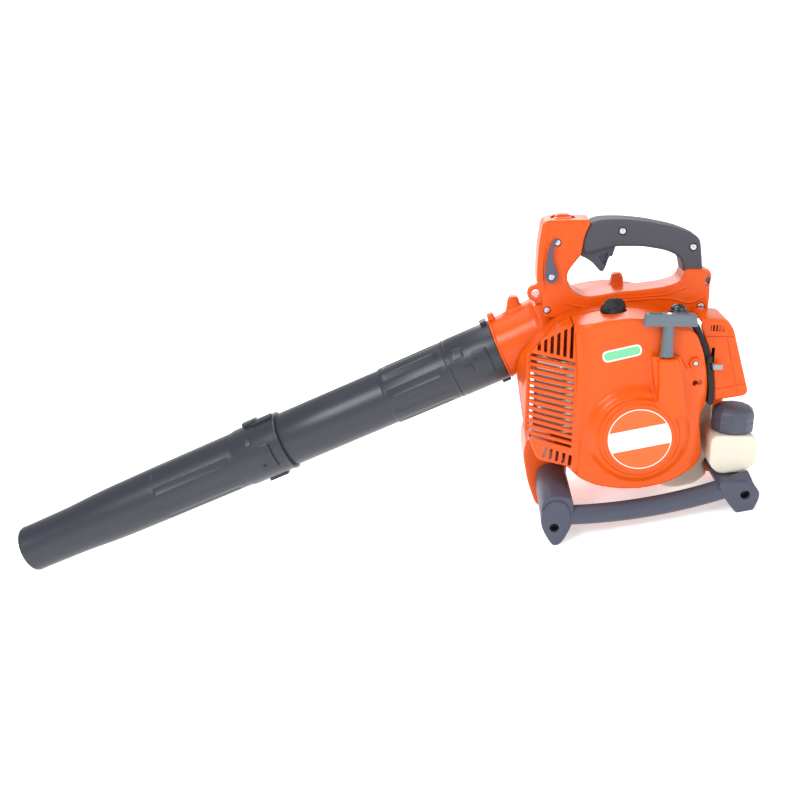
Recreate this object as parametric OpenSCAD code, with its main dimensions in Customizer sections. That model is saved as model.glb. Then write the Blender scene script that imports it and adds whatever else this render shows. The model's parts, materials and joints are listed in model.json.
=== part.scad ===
// Hand-held petrol leaf blower with a bayonet air tube, top handle and skid stand.
// Row frame: -X is forward (the tube), +Y is the air intake side, Z = 0 is the floor.
// The machine is drawn in its own engine frame, crankshaft on the Y axis, and then leaned back on its stand.

/* [Stance] */
// Height of the crankshaft above the floor
crank_height = 101; // [100:0.5:104]
// Backward lean of the machine on its stand, in degrees
lean = 12.5; // [12:0.25:13]
// Sideways offset of the fan housing's middle from the handle's middle
fan_mid = 25; // [24:0.5:26]

/* [Air tube] */
// Downward pitch of the tube below the engine's own level, in degrees
tube_pitch = 24.7; // [24:0.1:25.4]
// Distance of the tube's axis from the crankshaft
tube_offset = 109.5; // [109:0.5:110.5]
// Outer radius of the plain upper tube
tube_r = 32.3; // [32.2:0.1:32.5]
// Outer radius of both collars
collar_r = 34.5; // [34.4:0.1:35]
// Length of the upper tube up to the nozzle's rim
upper_length = 272; // [250:1:290]
// Visible length of the nozzle
nozzle_length = 356; // [330:1:360]
// Outer radius of the nozzle's tip
tip_r = 28.2; // [28:0.1:29]
// Wall of the tubes
tube_wall = 2; // [1.8:0.1:2.2]
// Turn that locks a bayonet, in degrees
bayonet_turn = 25; // [20:1:28]

/* [Fan and housing] */
// Radius of the impeller
fan_r = 80; // [76:1:81]
// Number of impeller vanes
fan_vanes = 14; // [10:1:18]
// Radius of the scroll at its tongue
scroll_start = 85; // [84:0.5:86]
// Growth of the scroll's radius from tongue to outlet
scroll_growth = 48; // [46:1:48]
// Wall of the fan housing
wall = 3; // [2.5:0.1:3]
// Radius of the air inlet
inlet_r = 62; // [56:1:64]

/* [Engine] */
// Forward lean of the cylinder in the engine frame, in degrees
cylinder_lean = 11; // [9:0.5:12]
// Radius of the cylinder bore
bore_r = 18; // [17:0.5:18.5]
// Number of cooling fins
fin_count = 8; // [6:1:9]
// Radius of the crankshaft's ends
shaft_r = 6; // [5.5:0.5:6]
// Wall of the engine cover
cover_wall = 2.5; // [2:0.1:2.6]
// Number of level slots in the cover's grille
slot_count = 14; // [12:1:15]
// Radius at which the starter rope leaves its pulley
rope_path_r = 22.6; // [22:0.1:23]

/* [Handle] */
// Half of the width of the orange handle
handle_half = 20; // [19:0.5:20.5]
// Half of the width of the grip
grip_half = 17; // [16:0.5:18]
// Wall of the handle's shells
shell_wall = 2.5; // [2:0.1:2.8]
// Radius of the front strap hole
strap_hole_r = 4.5; // [4:0.1:5]

/* [Stand] */
// Y of the near end faces of the feet
foot_near = -115; // [-116:0.5:-114]
// Radius of the bar between the feet
bar_r = 10.5; // [9.5:0.5:11]

/* [Hidden] */
$fn = 64;

orange = "#ff5f22";
charcoal = "#3b3f49";
slate = "#4e5261";
grip_grey = "#5c5c63";
silver = "#c9cbd0";
steel = "#8d9095";
cream = "#f3efe2";
black = "#1d1d20";

// Middle of the overall box, measured from the crankshaft, so that the origin is under the middle of the machine
box_mid_x = -309;
box_mid_y = -20;
small_gap = 0.3;
running_gap = 0.08;
// Radius of the bow of the stand's bar
bar_bow = 540;

// Y of the fan housing's near and far faces
fan_near = fan_mid - 39;
fan_far = fan_mid + 39;
// Y of the joint between the engine cover and the housing's shroud
shroud_joint = -45;
// Y of the engine cover's flat near face, of the starter dome and of its front
cover_near = -99;
dome_step = -106;
dome_near = -115;
dome_r = 48;
dome_cap_r = 37;
// Middle plane of the cylinder
engine_mid = -47;

// Scroll: it starts at the tongue and ends square to the tube
tongue_angle = 150;
outlet_angle = 90 + tube_pitch;
scroll_sweep = 360 + outlet_angle - tongue_angle;
duct_block = 50;
duct_length = 103;
spigot_length = 32;
spigot_r = 31.5;
duct_r = 29;

// Starter
rope_y = -107;
rope_r = 1.6;
guide_top = 86;
pulley_bore = 5;

// Fuel cap
cap_x = 102.7;
cap_y = -74;
cap_r = 22.2;
cap_base = -1.5;
cap_height = 27;
neck_r = 16;

// Pivots in the handle
trigger_pivot = [-52, 180];
cruise_pivot = [-88.4, 149.4];
stop_pivot = [-77, 206];

// Outline of the engine cover seen from the near side
cover_outline = [[-122, 38], [-115, -8], [-104, -36], [-99, -47], [-68, -43], [-58, -52], [-40, -59],
    [-20, -62], [-8, -62.5], [8, -61.5], [27, -57], [44, -50], [62, -39], [73, -30], [69, -12], [65.5, 8],
    [65, 18], [72, 31], [72.5, 45], [69, 66], [63, 87], [53.5, 108], [24, 118], [8, 122], [-15, 123],
    [-40, 119], [-70, 112], [-85, 104], [-119, 62]];
// The same cover seen from above
cover_plan = [[-127, 0], [-113, -45], [-68, -88], [-60, -96], [-44, cover_near], [44, cover_near],
    [60, -95], [72, -84], [75, -70], [76, 0]];
// Orange handle: front post, lower frame and rear post as one loop that is open at the grip
handle_outline = [[-47, 210], [-95, 209], [-99.5, 205], [-103, 178], [-104, 146], [-102, 136], [-97, 126],
    [-96, 112], [-94, 103], [-60, 104], [-15, 112], [20, 111], [60, 104], [80, 104], [81, 132],
    [80, 140], [81, 152], [76, 157.8], [52, 157.8], [52, 151], [47, 143], [30, 138], [0, 134],
    [-15, 133], [-40, 128], [-53, 127], [-66, 134], [-72, 147], [-70, 156], [-59, 170], [-57, 173],
    [-55, 192]];
// Grip: from the front post, over the hand, to the rear post
grip_outline = [[-47, 210], [-55, 192], [-57, 173], [-47, 174], [-20, 181], [8, 181], [30, 177.5],
    [42, 173], [49, 167], [52, 158.1], [72, 158.1], [70, 172], [67.5, 188], [64, 193.5], [56, 198],
    [39, 205], [11, 211], [-10, 213], [-25, 213]];
front_foot_outline = [[-63, -84], [-97, -84], [-97, -98], [-90, -114], [-72, -115], [-63.5, -97]];
rear_foot_outline = [[84, -50], [92, -62], [103, -75], [112, -84], [120, -82], [128, -62], [127, -55],
    [113, -45.5], [88, -45.5]];
front_lug_outline = [[-62, -60], [-108, -38], [-112, -58], [-106, -90], [-95, -125], [-78, -125],
    [-66, -106], [-62, -84]];
rear_lug_outline = [[78, -60], [90, -74], [102, -76], [110, -62], [100, -38], [92, -36]];

// Moves an outline inwards by d, with mitred corners; the points run anticlockwise
function unit(v) = v / norm(v);
function side_of(v) = [-v[1], v[0]];
function inset(p, d) = [for (i = [0:len(p) - 1])
    let (a = p[(i + len(p) - 1) % len(p)], b = p[i], c = p[(i + 1) % len(p)],
         n1 = side_of(unit(b - a)), n2 = side_of(unit(c - b)))
    b + d * (n1 + n2) / (1 + n1 * n2)];

// A point at a distance from the crankshaft, square to the tube, and then along the tube
function duct_point(off, along) = off * [cos(outlet_angle), sin(outlet_angle)]
    - along * [cos(tube_pitch), sin(tube_pitch)];
function scroll_radius(t) = scroll_start + scroll_growth * pow(t, 2.2);
function scroll_outline(extra) = concat(
    [for (i = [0:45]) let (t = i / 45, a = tongue_angle + t * scroll_sweep)
        (scroll_radius(t) + extra) * [cos(a), sin(a)]],
    [duct_point(tube_offset + 36 + extra, duct_block), duct_point(tube_offset - 34 - extra, duct_block)]);
function cylinder_point(along) = along * [-sin(cylinder_lean), cos(cylinder_lean)];

// Leans the engine frame back and sets it over the middle of the overall box
module made(c) color(c) translate([-box_mid_x, -box_mid_y, crank_height]) rotate([0, lean, 0]) children();
// Cuts flats at floor level
module above_floor() difference() {
    children();
    rotate([0, -lean, 0]) translate([-300, -300, -crank_height - 60]) cube([600, 600, 60]);
}
// Extrudes an X-Z outline from y0 to y1
module slab(y0, y1) translate([0, y1, 0]) rotate([90, 0, 0]) linear_extrude(y1 - y0) children();
// A round rod along Y, through [x, z]
module rod(at, y0, y1, r) translate([at[0], y0, at[1]]) rotate([-90, 0, 0]) cylinder(h = y1 - y0, r = r);
module ring(at, y0, y1, r, hole) difference() {
    rod(at, y0, y1, r);
    rod(at, y0 - 1, y1 + 1, hole);
}
// A box between two corners
module block(low, high) translate(low) cube(high - low);
// Places children with +Z along the tube, Z = 0 at the joint of tube and housing
module along_tube() {
    joint = duct_point(tube_offset, duct_length);
    translate([joint[0], fan_mid, joint[1]]) rotate([0, -90 - tube_pitch, 0]) children();
}
// Places children with +Z along the cylinder, Z = 0 at the crankshaft
module along_cylinder() translate([0, engine_mid, 0]) rotate([0, -cylinder_lean, 0]) children();
// A shell of revolution about Z from [radius, height] points
module turned(points) rotate_extrude() polygon(points);

// A round hose swept through points, with eight sides
function ring_at(p, q, c, r) = let (t = unit(q - p), u = unit(cross(t, [0.2, 0.97, 0.13])), v = cross(t, u))
    [for (k = [0:7]) c + r * (cos(45 * k) * u + sin(45 * k) * v)];
module hose(p, r) {
    last = len(p) - 1;
    rings = [for (i = [0:last]) ring_at(p[max(i - 1, 0)], p[min(i + 1, last)], p[i], r)];
    sides = [for (i = [0:last - 1]) for (k = [0:7])
        [8 * i + k, 8 * i + 8 + k, 8 * i + 8 + (k + 1) % 8, 8 * i + (k + 1) % 8]];
    polyhedron([for (a = rings) each a], concat(sides, [[for (k = [0:7]) k], [for (k = [7:-1:0]) 8 * last + k]]));
}

// ---- Fan housing ----
module scroll_solid(y0, y1, extra) slab(y0, y1) polygon(scroll_outline(extra));
module outlet_cone() along_tube() translate([0, 0, -(duct_length - duct_block)])
    cylinder(h = duct_length - duct_block, r1 = 39, r2 = 34.3);
module outlet_spigot() along_tube() {
    cylinder(h = spigot_length, r = spigot_r);
    for (a = [0, 180]) rotate([0, 0, a]) rotate([0, 90, 0]) translate([-20, 0, 28]) cylinder(h = 5.2, r = 2.8);
}
module outlet_passage() along_tube() {
    translate([0, 0, -(duct_length - duct_block) - 1]) cylinder(h = duct_length - duct_block + 1.01, r1 = 35, r2 = duct_r);
    cylinder(h = spigot_length + 1, r = duct_r);
}
module housing_tabs(y0, y1) for (at = [[-12.5, 139.5], [-126, 112]]) {
    rod(at, y0, y1, 6);
    slab(y0, y1) polygon([at + [-6, 0], at + [-9, -22], at + [9, -22], at + [6, 0]]);
}
module housing_half(y0, y1, cavity0, cavity1) difference() {
    union() {
        scroll_solid(y0, y1, wall);
        slab(y0, y1) polygon(front_lug_outline);
        slab(y0, y1) polygon(rear_lug_outline);
        intersection() {
            union() { outlet_cone(); outlet_spigot(); }
            block([-260, y0, -60], [0, y1, 200]);
        }
        housing_tabs(max(y0, fan_mid - 7), min(y1, fan_mid + 7));
    }
    scroll_solid(cavity0, cavity1, 0);
    outlet_passage();
}
// Front and lower wall of the shroud behind the muffler grille
module shroud() difference() {
    intersection() {
        slab(shroud_joint, fan_near) polygon(cover_outline);
        linear_extrude(400, center = true) polygon(cover_plan);
    }
    intersection() {
        slab(shroud_joint - 1, fan_near + 1) polygon(inset(cover_outline, wall));
        linear_extrude(400, center = true) polygon(inset(cover_plan, wall));
    }
    block([-130, -handle_half - small_gap - 0.2, 96], [100, fan_near + 1, 200]);
    block([-38, shroud_joint - 1, -90], [100, fan_near + 1, -30]);
    block([50, shroud_joint - 1, -60], [100, fan_near + 1, 130]);
    plug_opening();
}
// Clear way for the plug boot through the top of the shroud and the cover
module plug_opening() {
    translate([-24, engine_mid, 90]) cylinder(h = 60, r = 11);
    translate([-25, -60, 90]) cylinder(h = 60, r = 13);
}
module volute_engine_side() made(orange) above_floor() difference() {
    union() {
        housing_half(fan_near, fan_mid, fan_near + wall, fan_mid + 1);
        shroud();
    }
    rod([0, 0], fan_near - 1, fan_near + wall + 1, 26);
    for (at = housing_screw_places) rod(at, fan_near - 1, fan_near + wall + 1, 2.2);
    rod(handle_screw_places[1], fan_near - 1, fan_near + wall + 1, 1.8);
}
module volute_intake_side() made(orange) above_floor() difference() {
    housing_half(fan_mid, fan_far, fan_mid - 1, fan_far - wall);
    rod([0, 0], fan_far - wall - 1, fan_far + 1, inlet_r);
}
housing_screw_places = [for (a = [20, 110, 200, 290]) 32 * [cos(a), sin(a)]];
module intake_guard() made(charcoal) {
    ring([0, 0], fan_far + small_gap, fan_far + 12, 80, 74);
    for (r = [18, 32, 46, 60]) ring([0, 0], fan_far + 8, fan_far + 12, r + 1.5, r - 1.5);
    rod([0, 0], fan_far + 8, fan_far + 12, 8);
    for (a = [0:30:330]) rotate([0, a, 0]) block([7, fan_far + 8.5, -1.4], [75, fan_far + 11.5, 1.4]);
    difference() {
        ring([0, 0], fan_far + small_gap, fan_far + 3, 84, 74);
        for (a = [45:90:315]) rod(82 * [cos(a), sin(a)], fan_far - 1, fan_far + 20, 1.4);
    }
}
module fan_impeller() made(charcoal) difference() {
    union() {
        rod([0, 0], fan_near + 8, fan_near + 11, fan_r);
        rod([0, 0], fan_near + 8, fan_near + 40, 15);
        for (i = [0:fan_vanes - 1]) rotate([0, i * 360 / fan_vanes, 0])
            translate([40, 0, 0]) rotate([0, 24, 0]) block([0, fan_near + 10, -1.2], [37, fan_near + 62, 1.2]);
        ring([0, 0], fan_near + 60, fan_near + 62, fan_r - 2, 60);
    }
    rod([0, 0], fan_near, fan_near + 80, shaft_r);
}
module fan_nut() made(silver) difference() {
    translate([0, fan_near + 40, 0]) rotate([-90, 0, 0]) cylinder(h = 9, r = 11, $fn = 6);
    rod([0, 0], fan_near + 39, fan_near + 50, shaft_r);
}

// ---- Air tube ----
module flutes(count, r, z0, z1, deep) for (i = [0:count - 1]) rotate([0, 0, i * 360 / count])
    translate([r - deep, -7, z0]) cube([10, 14, z1 - z0]);
// Raised bayonet band on a collar
module bayonet_band(r, z) for (a = [0, 180]) rotate([0, 0, a - 12]) translate([0, 0, z])
    rotate_extrude(angle = 56) translate([r - 1, 0]) square([3.6, 13]);
// Slot in a collar for the pin of its partner
module bayonet_slot(r, z) for (a = [0, 180]) rotate([0, 0, a - 6]) translate([0, 0, z - 3.2])
    rotate_extrude(angle = bayonet_turn + 13) translate([r - 1, 0]) square([3, 6.4]);
module upper_tube() made(charcoal) along_tube() difference() {
    union() {
        turned([[spigot_r + running_gap, small_gap], [collar_r, small_gap], [collar_r, 56], [collar_r - 0.4, 57],
            [collar_r - 0.4, 59], [collar_r, 60], [tube_r + 0.8, 139], [tube_r, 141], [tube_r, upper_length + 44],
            [tube_r - tube_wall, upper_length + 44], [tube_r - tube_wall, 141], [duct_r + 1, 62], [duct_r + 1, 36],
            [spigot_r + running_gap, 34]]);
        bayonet_band(collar_r, 14);
        for (a = [0, 180]) rotate([0, 0, a + 70]) translate([collar_r - 3, -9, small_gap]) cube([6, 18, 7]);
        for (a = [0, 180]) rotate([0, 0, a]) rotate([0, 90, 0])
            translate([-upper_length - 22, 0, tube_r - 2.2]) cylinder(h = 3.8, r = 2.8);
    }
    flutes(10, tube_r + 2, 66, 138, 1.2);
    bayonet_slot(spigot_r + running_gap, 20);
    translate([0, 0, -1]) cylinder(h = 36, r = spigot_r + running_gap);
    cylinder(h = upper_length + 60, r = duct_r + 0.8);
}
module nozzle_tube() made(charcoal) along_tube() translate([0, 0, upper_length]) difference() {
    union() {
        turned([[tube_r + running_gap, small_gap], [collar_r + 0.8, small_gap], [collar_r + 0.8, 3], [collar_r, 4],
            [collar_r, 58], [tube_r + 0.7, 62], [tube_r + 0.2, 172], [tube_r - 0.3, 225], [tip_r + 1.2, 288],
            [tip_r, nozzle_length], [tip_r - 2.2, nozzle_length], [tip_r - 2.2, 300], [tube_r - 2.6, 225],
            [tube_r - 2.2, 60], [tube_r - 1.9, 46.5], [tube_r + running_gap, 46]]);
        bayonet_band(collar_r, 16);
        for (a = [0, 180]) rotate([0, 0, a + 90]) translate([collar_r - 3, -8, 10]) cube([6.5, 16, 16]);
        rotate([0, 0, -60]) translate([collar_r - 3, -2, 6]) cube([5, 4, 24]);
    }
    flutes(10, tube_r + 0.6, 68, 170, 0.9);
    bayonet_slot(tube_r + running_gap, 22);
    translate([0, 0, -1]) cylinder(h = 47, r = tube_r + running_gap);
}

// ---- Engine cover and starter ----
module cover_solid() intersection() {
    slab(-140, shroud_joint - small_gap) polygon(cover_outline);
    linear_extrude(400, center = true) polygon(cover_plan);
}
module cover_cavity() intersection() {
    slab(-96.4, -40) polygon(inset(cover_outline, cover_wall));
    linear_extrude(400, center = true) polygon(inset(cover_plan, cover_wall));
}
module grille_slots() {
    pitch = 98 / slot_count;
    for (i = [0:slot_count - 1]) block([-118, -110, 69 - i * pitch], [-65, -40, 69 - i * pitch + pitch * 0.5]);
    for (i = [0:6]) block([-109 + i * 6.2, -110, 76.5], [-105.6 + i * 6.2, -40, 80 + i * 5.2]);
    for (i = [0:4]) block([-94 + i * 6.2, -110, -41], [-90.8 + i * 6.2, -47, -28.5]);
}
module engine_cover() made(orange) difference() {
    union() {
        cover_solid();
        rod([0, 0], dome_step, cover_near + 1, dome_r);
        rod([0, 0], dome_near, dome_step + 1, dome_cap_r);
        block([rope_path_r - 10, dome_near, 30], [rope_path_r + 10, cover_near + 1, guide_top]);
        for (at = cover_screw_places) rod(at, cover_near - 1.5, cover_near + 1, 6);
    }
    cover_cavity();
    rod([0, 0], dome_step + 2.5, -60, dome_r - 2.5);
    difference() {
        rod([0, 0], dome_near + 2.5, -60, dome_cap_r - 2.5);
        rod([0, 0], dome_near, -101, pulley_bore);
    }
    translate([rope_path_r, rope_y, 0]) cylinder(h = 120, r = 3.4);
    grille_slots();
    plug_opening();
    block([55, -64, 47], [80, -40, 97]);
    translate([41, -58, 90]) cylinder(h = 60, r = 7);
    for (at = cover_screw_places) rod(at, -120, -90, 2.2);
    for (x = [55.5, 61]) rod([x, 55], -120, -90, 2.6);
}
cover_screw_places = [[54, 77]];
// Plain round and oval badges on the cover
module cover_badges() made("white") {
    rod([0, 0], dome_near - 0.9, dome_near - 0.02, 33);
    slab(cover_near - 0.6, cover_near - 0.02) translate([-20, 74]) rotate(8) {
        square([28, 12], center = true);
        for (x = [-14, 14]) translate([x, 0]) circle(r = 6);
    }
}
module starter_pulley() made(charcoal) difference() {
    union() {
        ring([0, 0], -111.5, -109.5, 27, pulley_bore + running_gap);
        ring([0, 0], -104.5, -101.5, 27, pulley_bore + running_gap);
        ring([0, 0], -110, -104, 20, pulley_bore + running_gap);
    }
}
module starter_rope() made("white") ring([0, 0], rope_y - 2.4, rope_y + 2.4, rope_path_r + 1.4, 20);
spring_turns = 5;
spring_pitch = 2.4;
function coil(i, d) = let (a = i * 15) (11 + spring_pitch * a / 360 + d) * [cos(a), sin(a)];
module recoil_spring() made(steel) slab(-100.5, -94.5) polygon(concat(
    [for (i = [0:24 * spring_turns]) coil(i, 0)], [for (i = [24 * spring_turns:-1:0]) coil(i, 0.9)]));
module starter_handle() made("#66727c") {
    difference() {
        union() {
            block([-3, rope_y - 6.5, 118], [50, rope_y + 6.5, 130.5]);
            translate([rope_path_r, rope_y, guide_top + 1]) cylinder(h = 32, r = 5.6);
            translate([rope_path_r, rope_y, guide_top + small_gap]) cylinder(h = 5, r1 = 7.4, r2 = 5.8);
        }
        translate([rope_path_r, rope_y, 80]) cylinder(h = 42, r = 2.2);
        for (x = [-4, 42]) block([x, rope_y - 3.5, 121], [x + 9, rope_y + 3.5, 128]);
    }
}

// ---- Ignition ----
module flywheel() made(silver) difference() {
    union() {
        rod([0, 0], -92, -85, 38);
        rod([0, 0], -92, -80, 14);
        for (i = [0:11]) rotate([0, i * 30, 0]) block([16, -86, -1], [37, -80.5, 1]);
    }
    rod([0, 0], -95, -79, shaft_r);
}
module ignition_coil() made(black) {
    block([4, -92, 40], [34, -84, 46]);
    block([8, -94, 46], [30, -80, 66]);
}
module spark_plug() made("white") along_cylinder() {
    translate([0, 0, 90]) cylinder(h = 9, r = 5);
    translate([0, 0, 98.5]) cylinder(h = 8, r = 9.2, $fn = 6);
    translate([0, 0, 106]) cylinder(h = 12, r = 4.5);
}
module plug_boot() made(black) difference() {
    union() {
        along_cylinder() translate([0, 0, 107.5]) cylinder(h = 18, r = 8.5);
        translate([-24, engine_mid, 126]) rotate([64, 0, -6]) cylinder(h = 24, r = 9.5);
        translate([-24, engine_mid, 126]) sphere(r = 9.5);
    }
    along_cylinder() translate([0, 0, 100]) cylinder(h = 18, r = 4.6);
}
module ignition_lead() made(black) hose([[-21, -61, 114], [-19, -62, 110], [-10, -70, 106], [0, -81.5, 100],
    [8, -83, 90], [13, -84.5, 79], [16, -87, 70], [16, -87, 66.3]], 2.6);

// ---- Engine ----
module cylinder_ports() {
    block([-49, engine_mid - 15, 48], [0, engine_mid + 15, 74]);
    block([0, engine_mid - 13, 52], [30, engine_mid + 13, 80]);
}
module cylinder_bore_cut() {
    along_cylinder() translate([0, 0, 20]) cylinder(h = 66, r = bore_r + 0.02);
    translate([-60, engine_mid, 61]) rotate([0, 90, 0]) cylinder(h = 60, r = 8);
    translate([0, engine_mid, 66]) rotate([0, 90, 0]) cylinder(h = 40, r = 9.2);
    along_cylinder() translate([0, 0, 80]) cylinder(h = 30, r = 5);
}
module cylinder_barrel() along_cylinder() {
    translate([0, 0, 36]) cylinder(h = 62, r = 23);
    for (i = [0:fin_count - 1]) translate([-31, -31, 46 + i * 48 / (fin_count - 1)]) cube([62, 62, 2]);
    translate([-26, -26, 36.2]) cube([52, 52, 5]);
}
module cylinder_block() made(silver) difference() {
    union() { cylinder_barrel(); cylinder_ports(); }
    cylinder_bore_cut();
}
module piston() made(silver) along_cylinder() difference() {
    translate([0, 0, 58]) cylinder(h = 26, r = bore_r - 0.03);
    translate([0, 0, 57]) cylinder(h = 23, r = bore_r - 3);
    translate([0, 0, 66]) rotate([90, 0, 0]) cylinder(h = 60, r = 4.5, center = true);
}
module piston_pin() made(steel) along_cylinder() difference() {
    translate([0, 0, 66]) rotate([90, 0, 0]) cylinder(h = 32, r = 4.45, center = true);
    translate([0, 0, 66]) rotate([90, 0, 0]) cylinder(h = 34, r = 2.5, center = true);
}
module connecting_rod() made(steel) along_cylinder() difference() {
    union() {
        for (end = [[14, 9.5], [66, 7.5]])
            translate([0, 0, end[0]]) rotate([90, 0, 0]) cylinder(h = 8, r = end[1], center = true);
        translate([-4, -2.5, 18]) cube([8, 5, 44]);
    }
    translate([0, 0, 14]) rotate([90, 0, 0]) cylinder(h = 10, r = 6.05, center = true);
    translate([0, 0, 66]) rotate([90, 0, 0]) cylinder(h = 10, r = 4.5, center = true);
}
module crank_throw() made(steel) along_cylinder() {
    for (y = [-13, 5]) translate([0, y, 0]) rotate([-90, 0, 0]) cylinder(h = 8, r = 25);
    translate([0, 0, 14]) rotate([90, 0, 0]) cylinder(h = 18, r = 6, center = true);
}
module crankshaft_fan_end() made(steel) rod([0, 0], engine_mid + 13.5, fan_near + 58, shaft_r);
module crankshaft_starter_end() made(steel) {
    rod([0, 0], -93, engine_mid - 13.5, shaft_r);
    rod([0, 0], -93.5, -92.1, 11);
}
module crankcase_half(y0, y1, inner0, inner1) difference() {
    union() {
        rod([0, 0], y0, y1, 36);
        intersection() {
            along_cylinder() translate([-26, -26, 20]) cube([52, 52, 16]);
            block([-80, y0, 0], [80, y1, 80]);
        }
    }
    rod([0, 0], inner0, inner1, 27.5);
    along_cylinder() translate([0, 0, 18]) cylinder(h = 20, r = bore_r + 1);
    rod([0, 0], y0 - 1, y1 + 1, 14);
}
module crankcase_far_half() made(silver) difference() {
    crankcase_half(engine_mid, fan_near - small_gap, engine_mid - 1, engine_mid + 14.5);
    for (at = housing_screw_places) rod(at, engine_mid + 16, fan_near + 1, 2.2);
}
module crankcase_near_half() made(silver) crankcase_half(engine_mid - 31, engine_mid, engine_mid - 14.5, engine_mid + 1);
module main_bearings() made(steel) {
    ring([0, 0], engine_mid + 15, engine_mid + 23, 14, shaft_r + 0.05);
    ring([0, 0], engine_mid - 23, engine_mid - 15, 14, shaft_r + 0.05);
}
module oil_seals() made(black) {
    ring([0, 0], engine_mid + 23.2, engine_mid + 28, 14, shaft_r + 0.1);
    ring([0, 0], engine_mid - 28, engine_mid - 23.2, 14, shaft_r + 0.1);
}
module muffler() made(silver) difference() {
    translate([0, 0, -12]) linear_extrude(82)
        polygon([[-105, -20], [-104, -47], [-77, -72], [-55, -74], [-55, -20]]);
    translate([0, 0, -10]) linear_extrude(78)
        polygon([[-103, -22], [-102, -46], [-76, -70], [-57, -72], [-57, -22]]);
    translate([-70, engine_mid, 61]) rotate([0, 90, 0]) cylinder(h = 30, r = 8);
    translate([-84, -90, 8]) rotate([0, 90, 48]) cylinder(h = 30, r = 5);
}
module muffler_gasket() made(steel) difference() {
    block([-55, engine_mid - 15, 48], [-49, engine_mid + 15, 74]);
    translate([-70, engine_mid, 61]) rotate([0, 90, 0]) cylinder(h = 30, r = 8);
}
module intake_insulator() made(black) difference() {
    block([30, engine_mid - 14, 51], [44, engine_mid + 14, 81]);
    translate([20, engine_mid, 66]) rotate([0, 90, 0]) cylinder(h = 40, r = 9.2);
}
module carburettor() made(silver) difference() {
    union() {
        block([44, engine_mid - 14, 51], [72, engine_mid + 14, 81]);
        block([48, engine_mid - 11, 81], [62, engine_mid + 11, 90]);
    }
    translate([40, engine_mid, 66]) rotate([0, 90, 0]) cylinder(h = 40, r = 9.2);
    rod([58, 66], engine_mid - 20, engine_mid + 20, 2.05);
}
module throttle_valve() made(steel) {
    rod([58, 66], engine_mid - 14, engine_mid + 21, 2);
    translate([58, engine_mid, 66]) rotate([0, 12, 0]) translate([-0.6, 0, 0]) rotate([0, 90, 0]) cylinder(h = 1.2, r = 8.4);
    difference() {
        block([54, engine_mid + 15, 64], [62, engine_mid + 17.5, 78]);
        rod([58, 75], engine_mid + 14, engine_mid + 19, 1);
    }
}
// Flap in front of the carburettor, with its finger tab outside the air filter
choke_pivot = [-70, 70];
choke_arm = 23.3;
choke_open = 40;
module choke_lever() made("#a9adb3") {
    translate([74.6, choke_pivot[0], choke_pivot[1]]) rotate([0, 90, 0]) cylinder(h = 1.6, r = 4);
    block([74.6, -89, 68], [76.2, -70, 72]);
    block([74.6, -89, 67.5], [84, -86.5, 72.5]);
    translate([74.6, choke_pivot[0], choke_pivot[1]]) rotate([choke_open, 0, 0]) {
        translate([0, 0, -2]) cube([1.6, choke_arm, 4]);
        translate([0, choke_arm, 0]) rotate([0, 90, 0]) cylinder(h = 1.6, r = 9.5);
    }
}
// Curved edges of the strip between the engine cover and the filter, from bottom to top
strip_left = [[73.2, 27], [73.2, 45], [69.8, 66], [63.8, 87], [54.5, 107.5], [50.5, 114]];
strip_right = [[79.6, 27], [79, 45], [76, 66], [70, 87], [60.5, 109], [58, 114]];
module air_filter_base() made(black) difference() {
    union() {
        slab(-76.6, -24) polygon([[77, 27], [80.2, 27], [80.2, 114], [77, 114]]);
        slab(-82, -70) polygon(concat(strip_right, [for (i = [5:-1:0]) strip_left[i]]));
    }
    translate([70, engine_mid, 66]) rotate([0, 90, 0]) cylinder(h = 20, r = 9.2);
    block([73.8, -84, 65.5], [76.9, -69, 88]);
}
module air_filter_element() made("#3a3d3f") block([80.3, -70, 42], [94, -29, 100]);
filter_outline = [[80.3, 30.5], [112, 36.5], [115, 41], [95, 107], [88, 117], [66, 118], [61.5, 114], [61, 109.4],
    [70.6, 87], [76.6, 66], [79.6, 45]];
module air_filter_cover() made(orange) difference() {
    slab(-78.5, -24) polygon(filter_outline);
    slab(-76.3, -26.2) polygon([[80.3, 33], [111, 39], [93, 106], [87, 114.5], [68, 115.5], [76.9, 96], [76.9, 33]]);
    slab(-76.9, -20) polygon([[50, 20], [80.3, 20], [80.3, 114.1], [50, 114.1]]);
    block([73.8, -80, 65.5], [77.2, -76, 88]);
}
module primer_bulb() made(black) {
    translate([41, -58, 114]) cylinder(h = 7, r = 6.6);
    translate([41, -58, 121.3]) cylinder(h = 2, r = 10);
    translate([41, -58, 123.3]) scale([1, 1, 0.7]) sphere(r = 8.5);
}

// ---- Fuel ----
tank_foot = [[24, -62], [33, -73], [41, -82], [55, -83], [75, -78], [89, -66], [85, -57], [80, -46], [24, -46]];
tank_head = [[77, -34], [84, -42], [91, -44.5], [113, -41], [121, -37], [126, -27], [124.5, -6], [121, -2],
    [81, -2], [77, -7]];
tank_waist = [[66, -60], [80, -60], [88, -40], [88, 20], [84, 25], [69, 25], [66, 21]];
module tank_solid(d) {
    slab(shroud_joint + 0.6 + d, fan_near - 4 - d) polygon(inset(tank_foot, d));
    slab(-97 + d, -20 - d) polygon(inset(tank_head, d));
    slab(shroud_joint + 0.6 + d, -30 - d) polygon(inset(tank_waist, d));
}
module fuel_tank() made(cream) difference() {
    union() {
        tank_solid(0);
        translate([cap_x, cap_y, -3]) cylinder(h = 14, r = neck_r);
    }
    tank_solid(2.2);
    translate([cap_x, cap_y, -6]) cylinder(h = 30, r = neck_r - 2.4);
}
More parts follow.
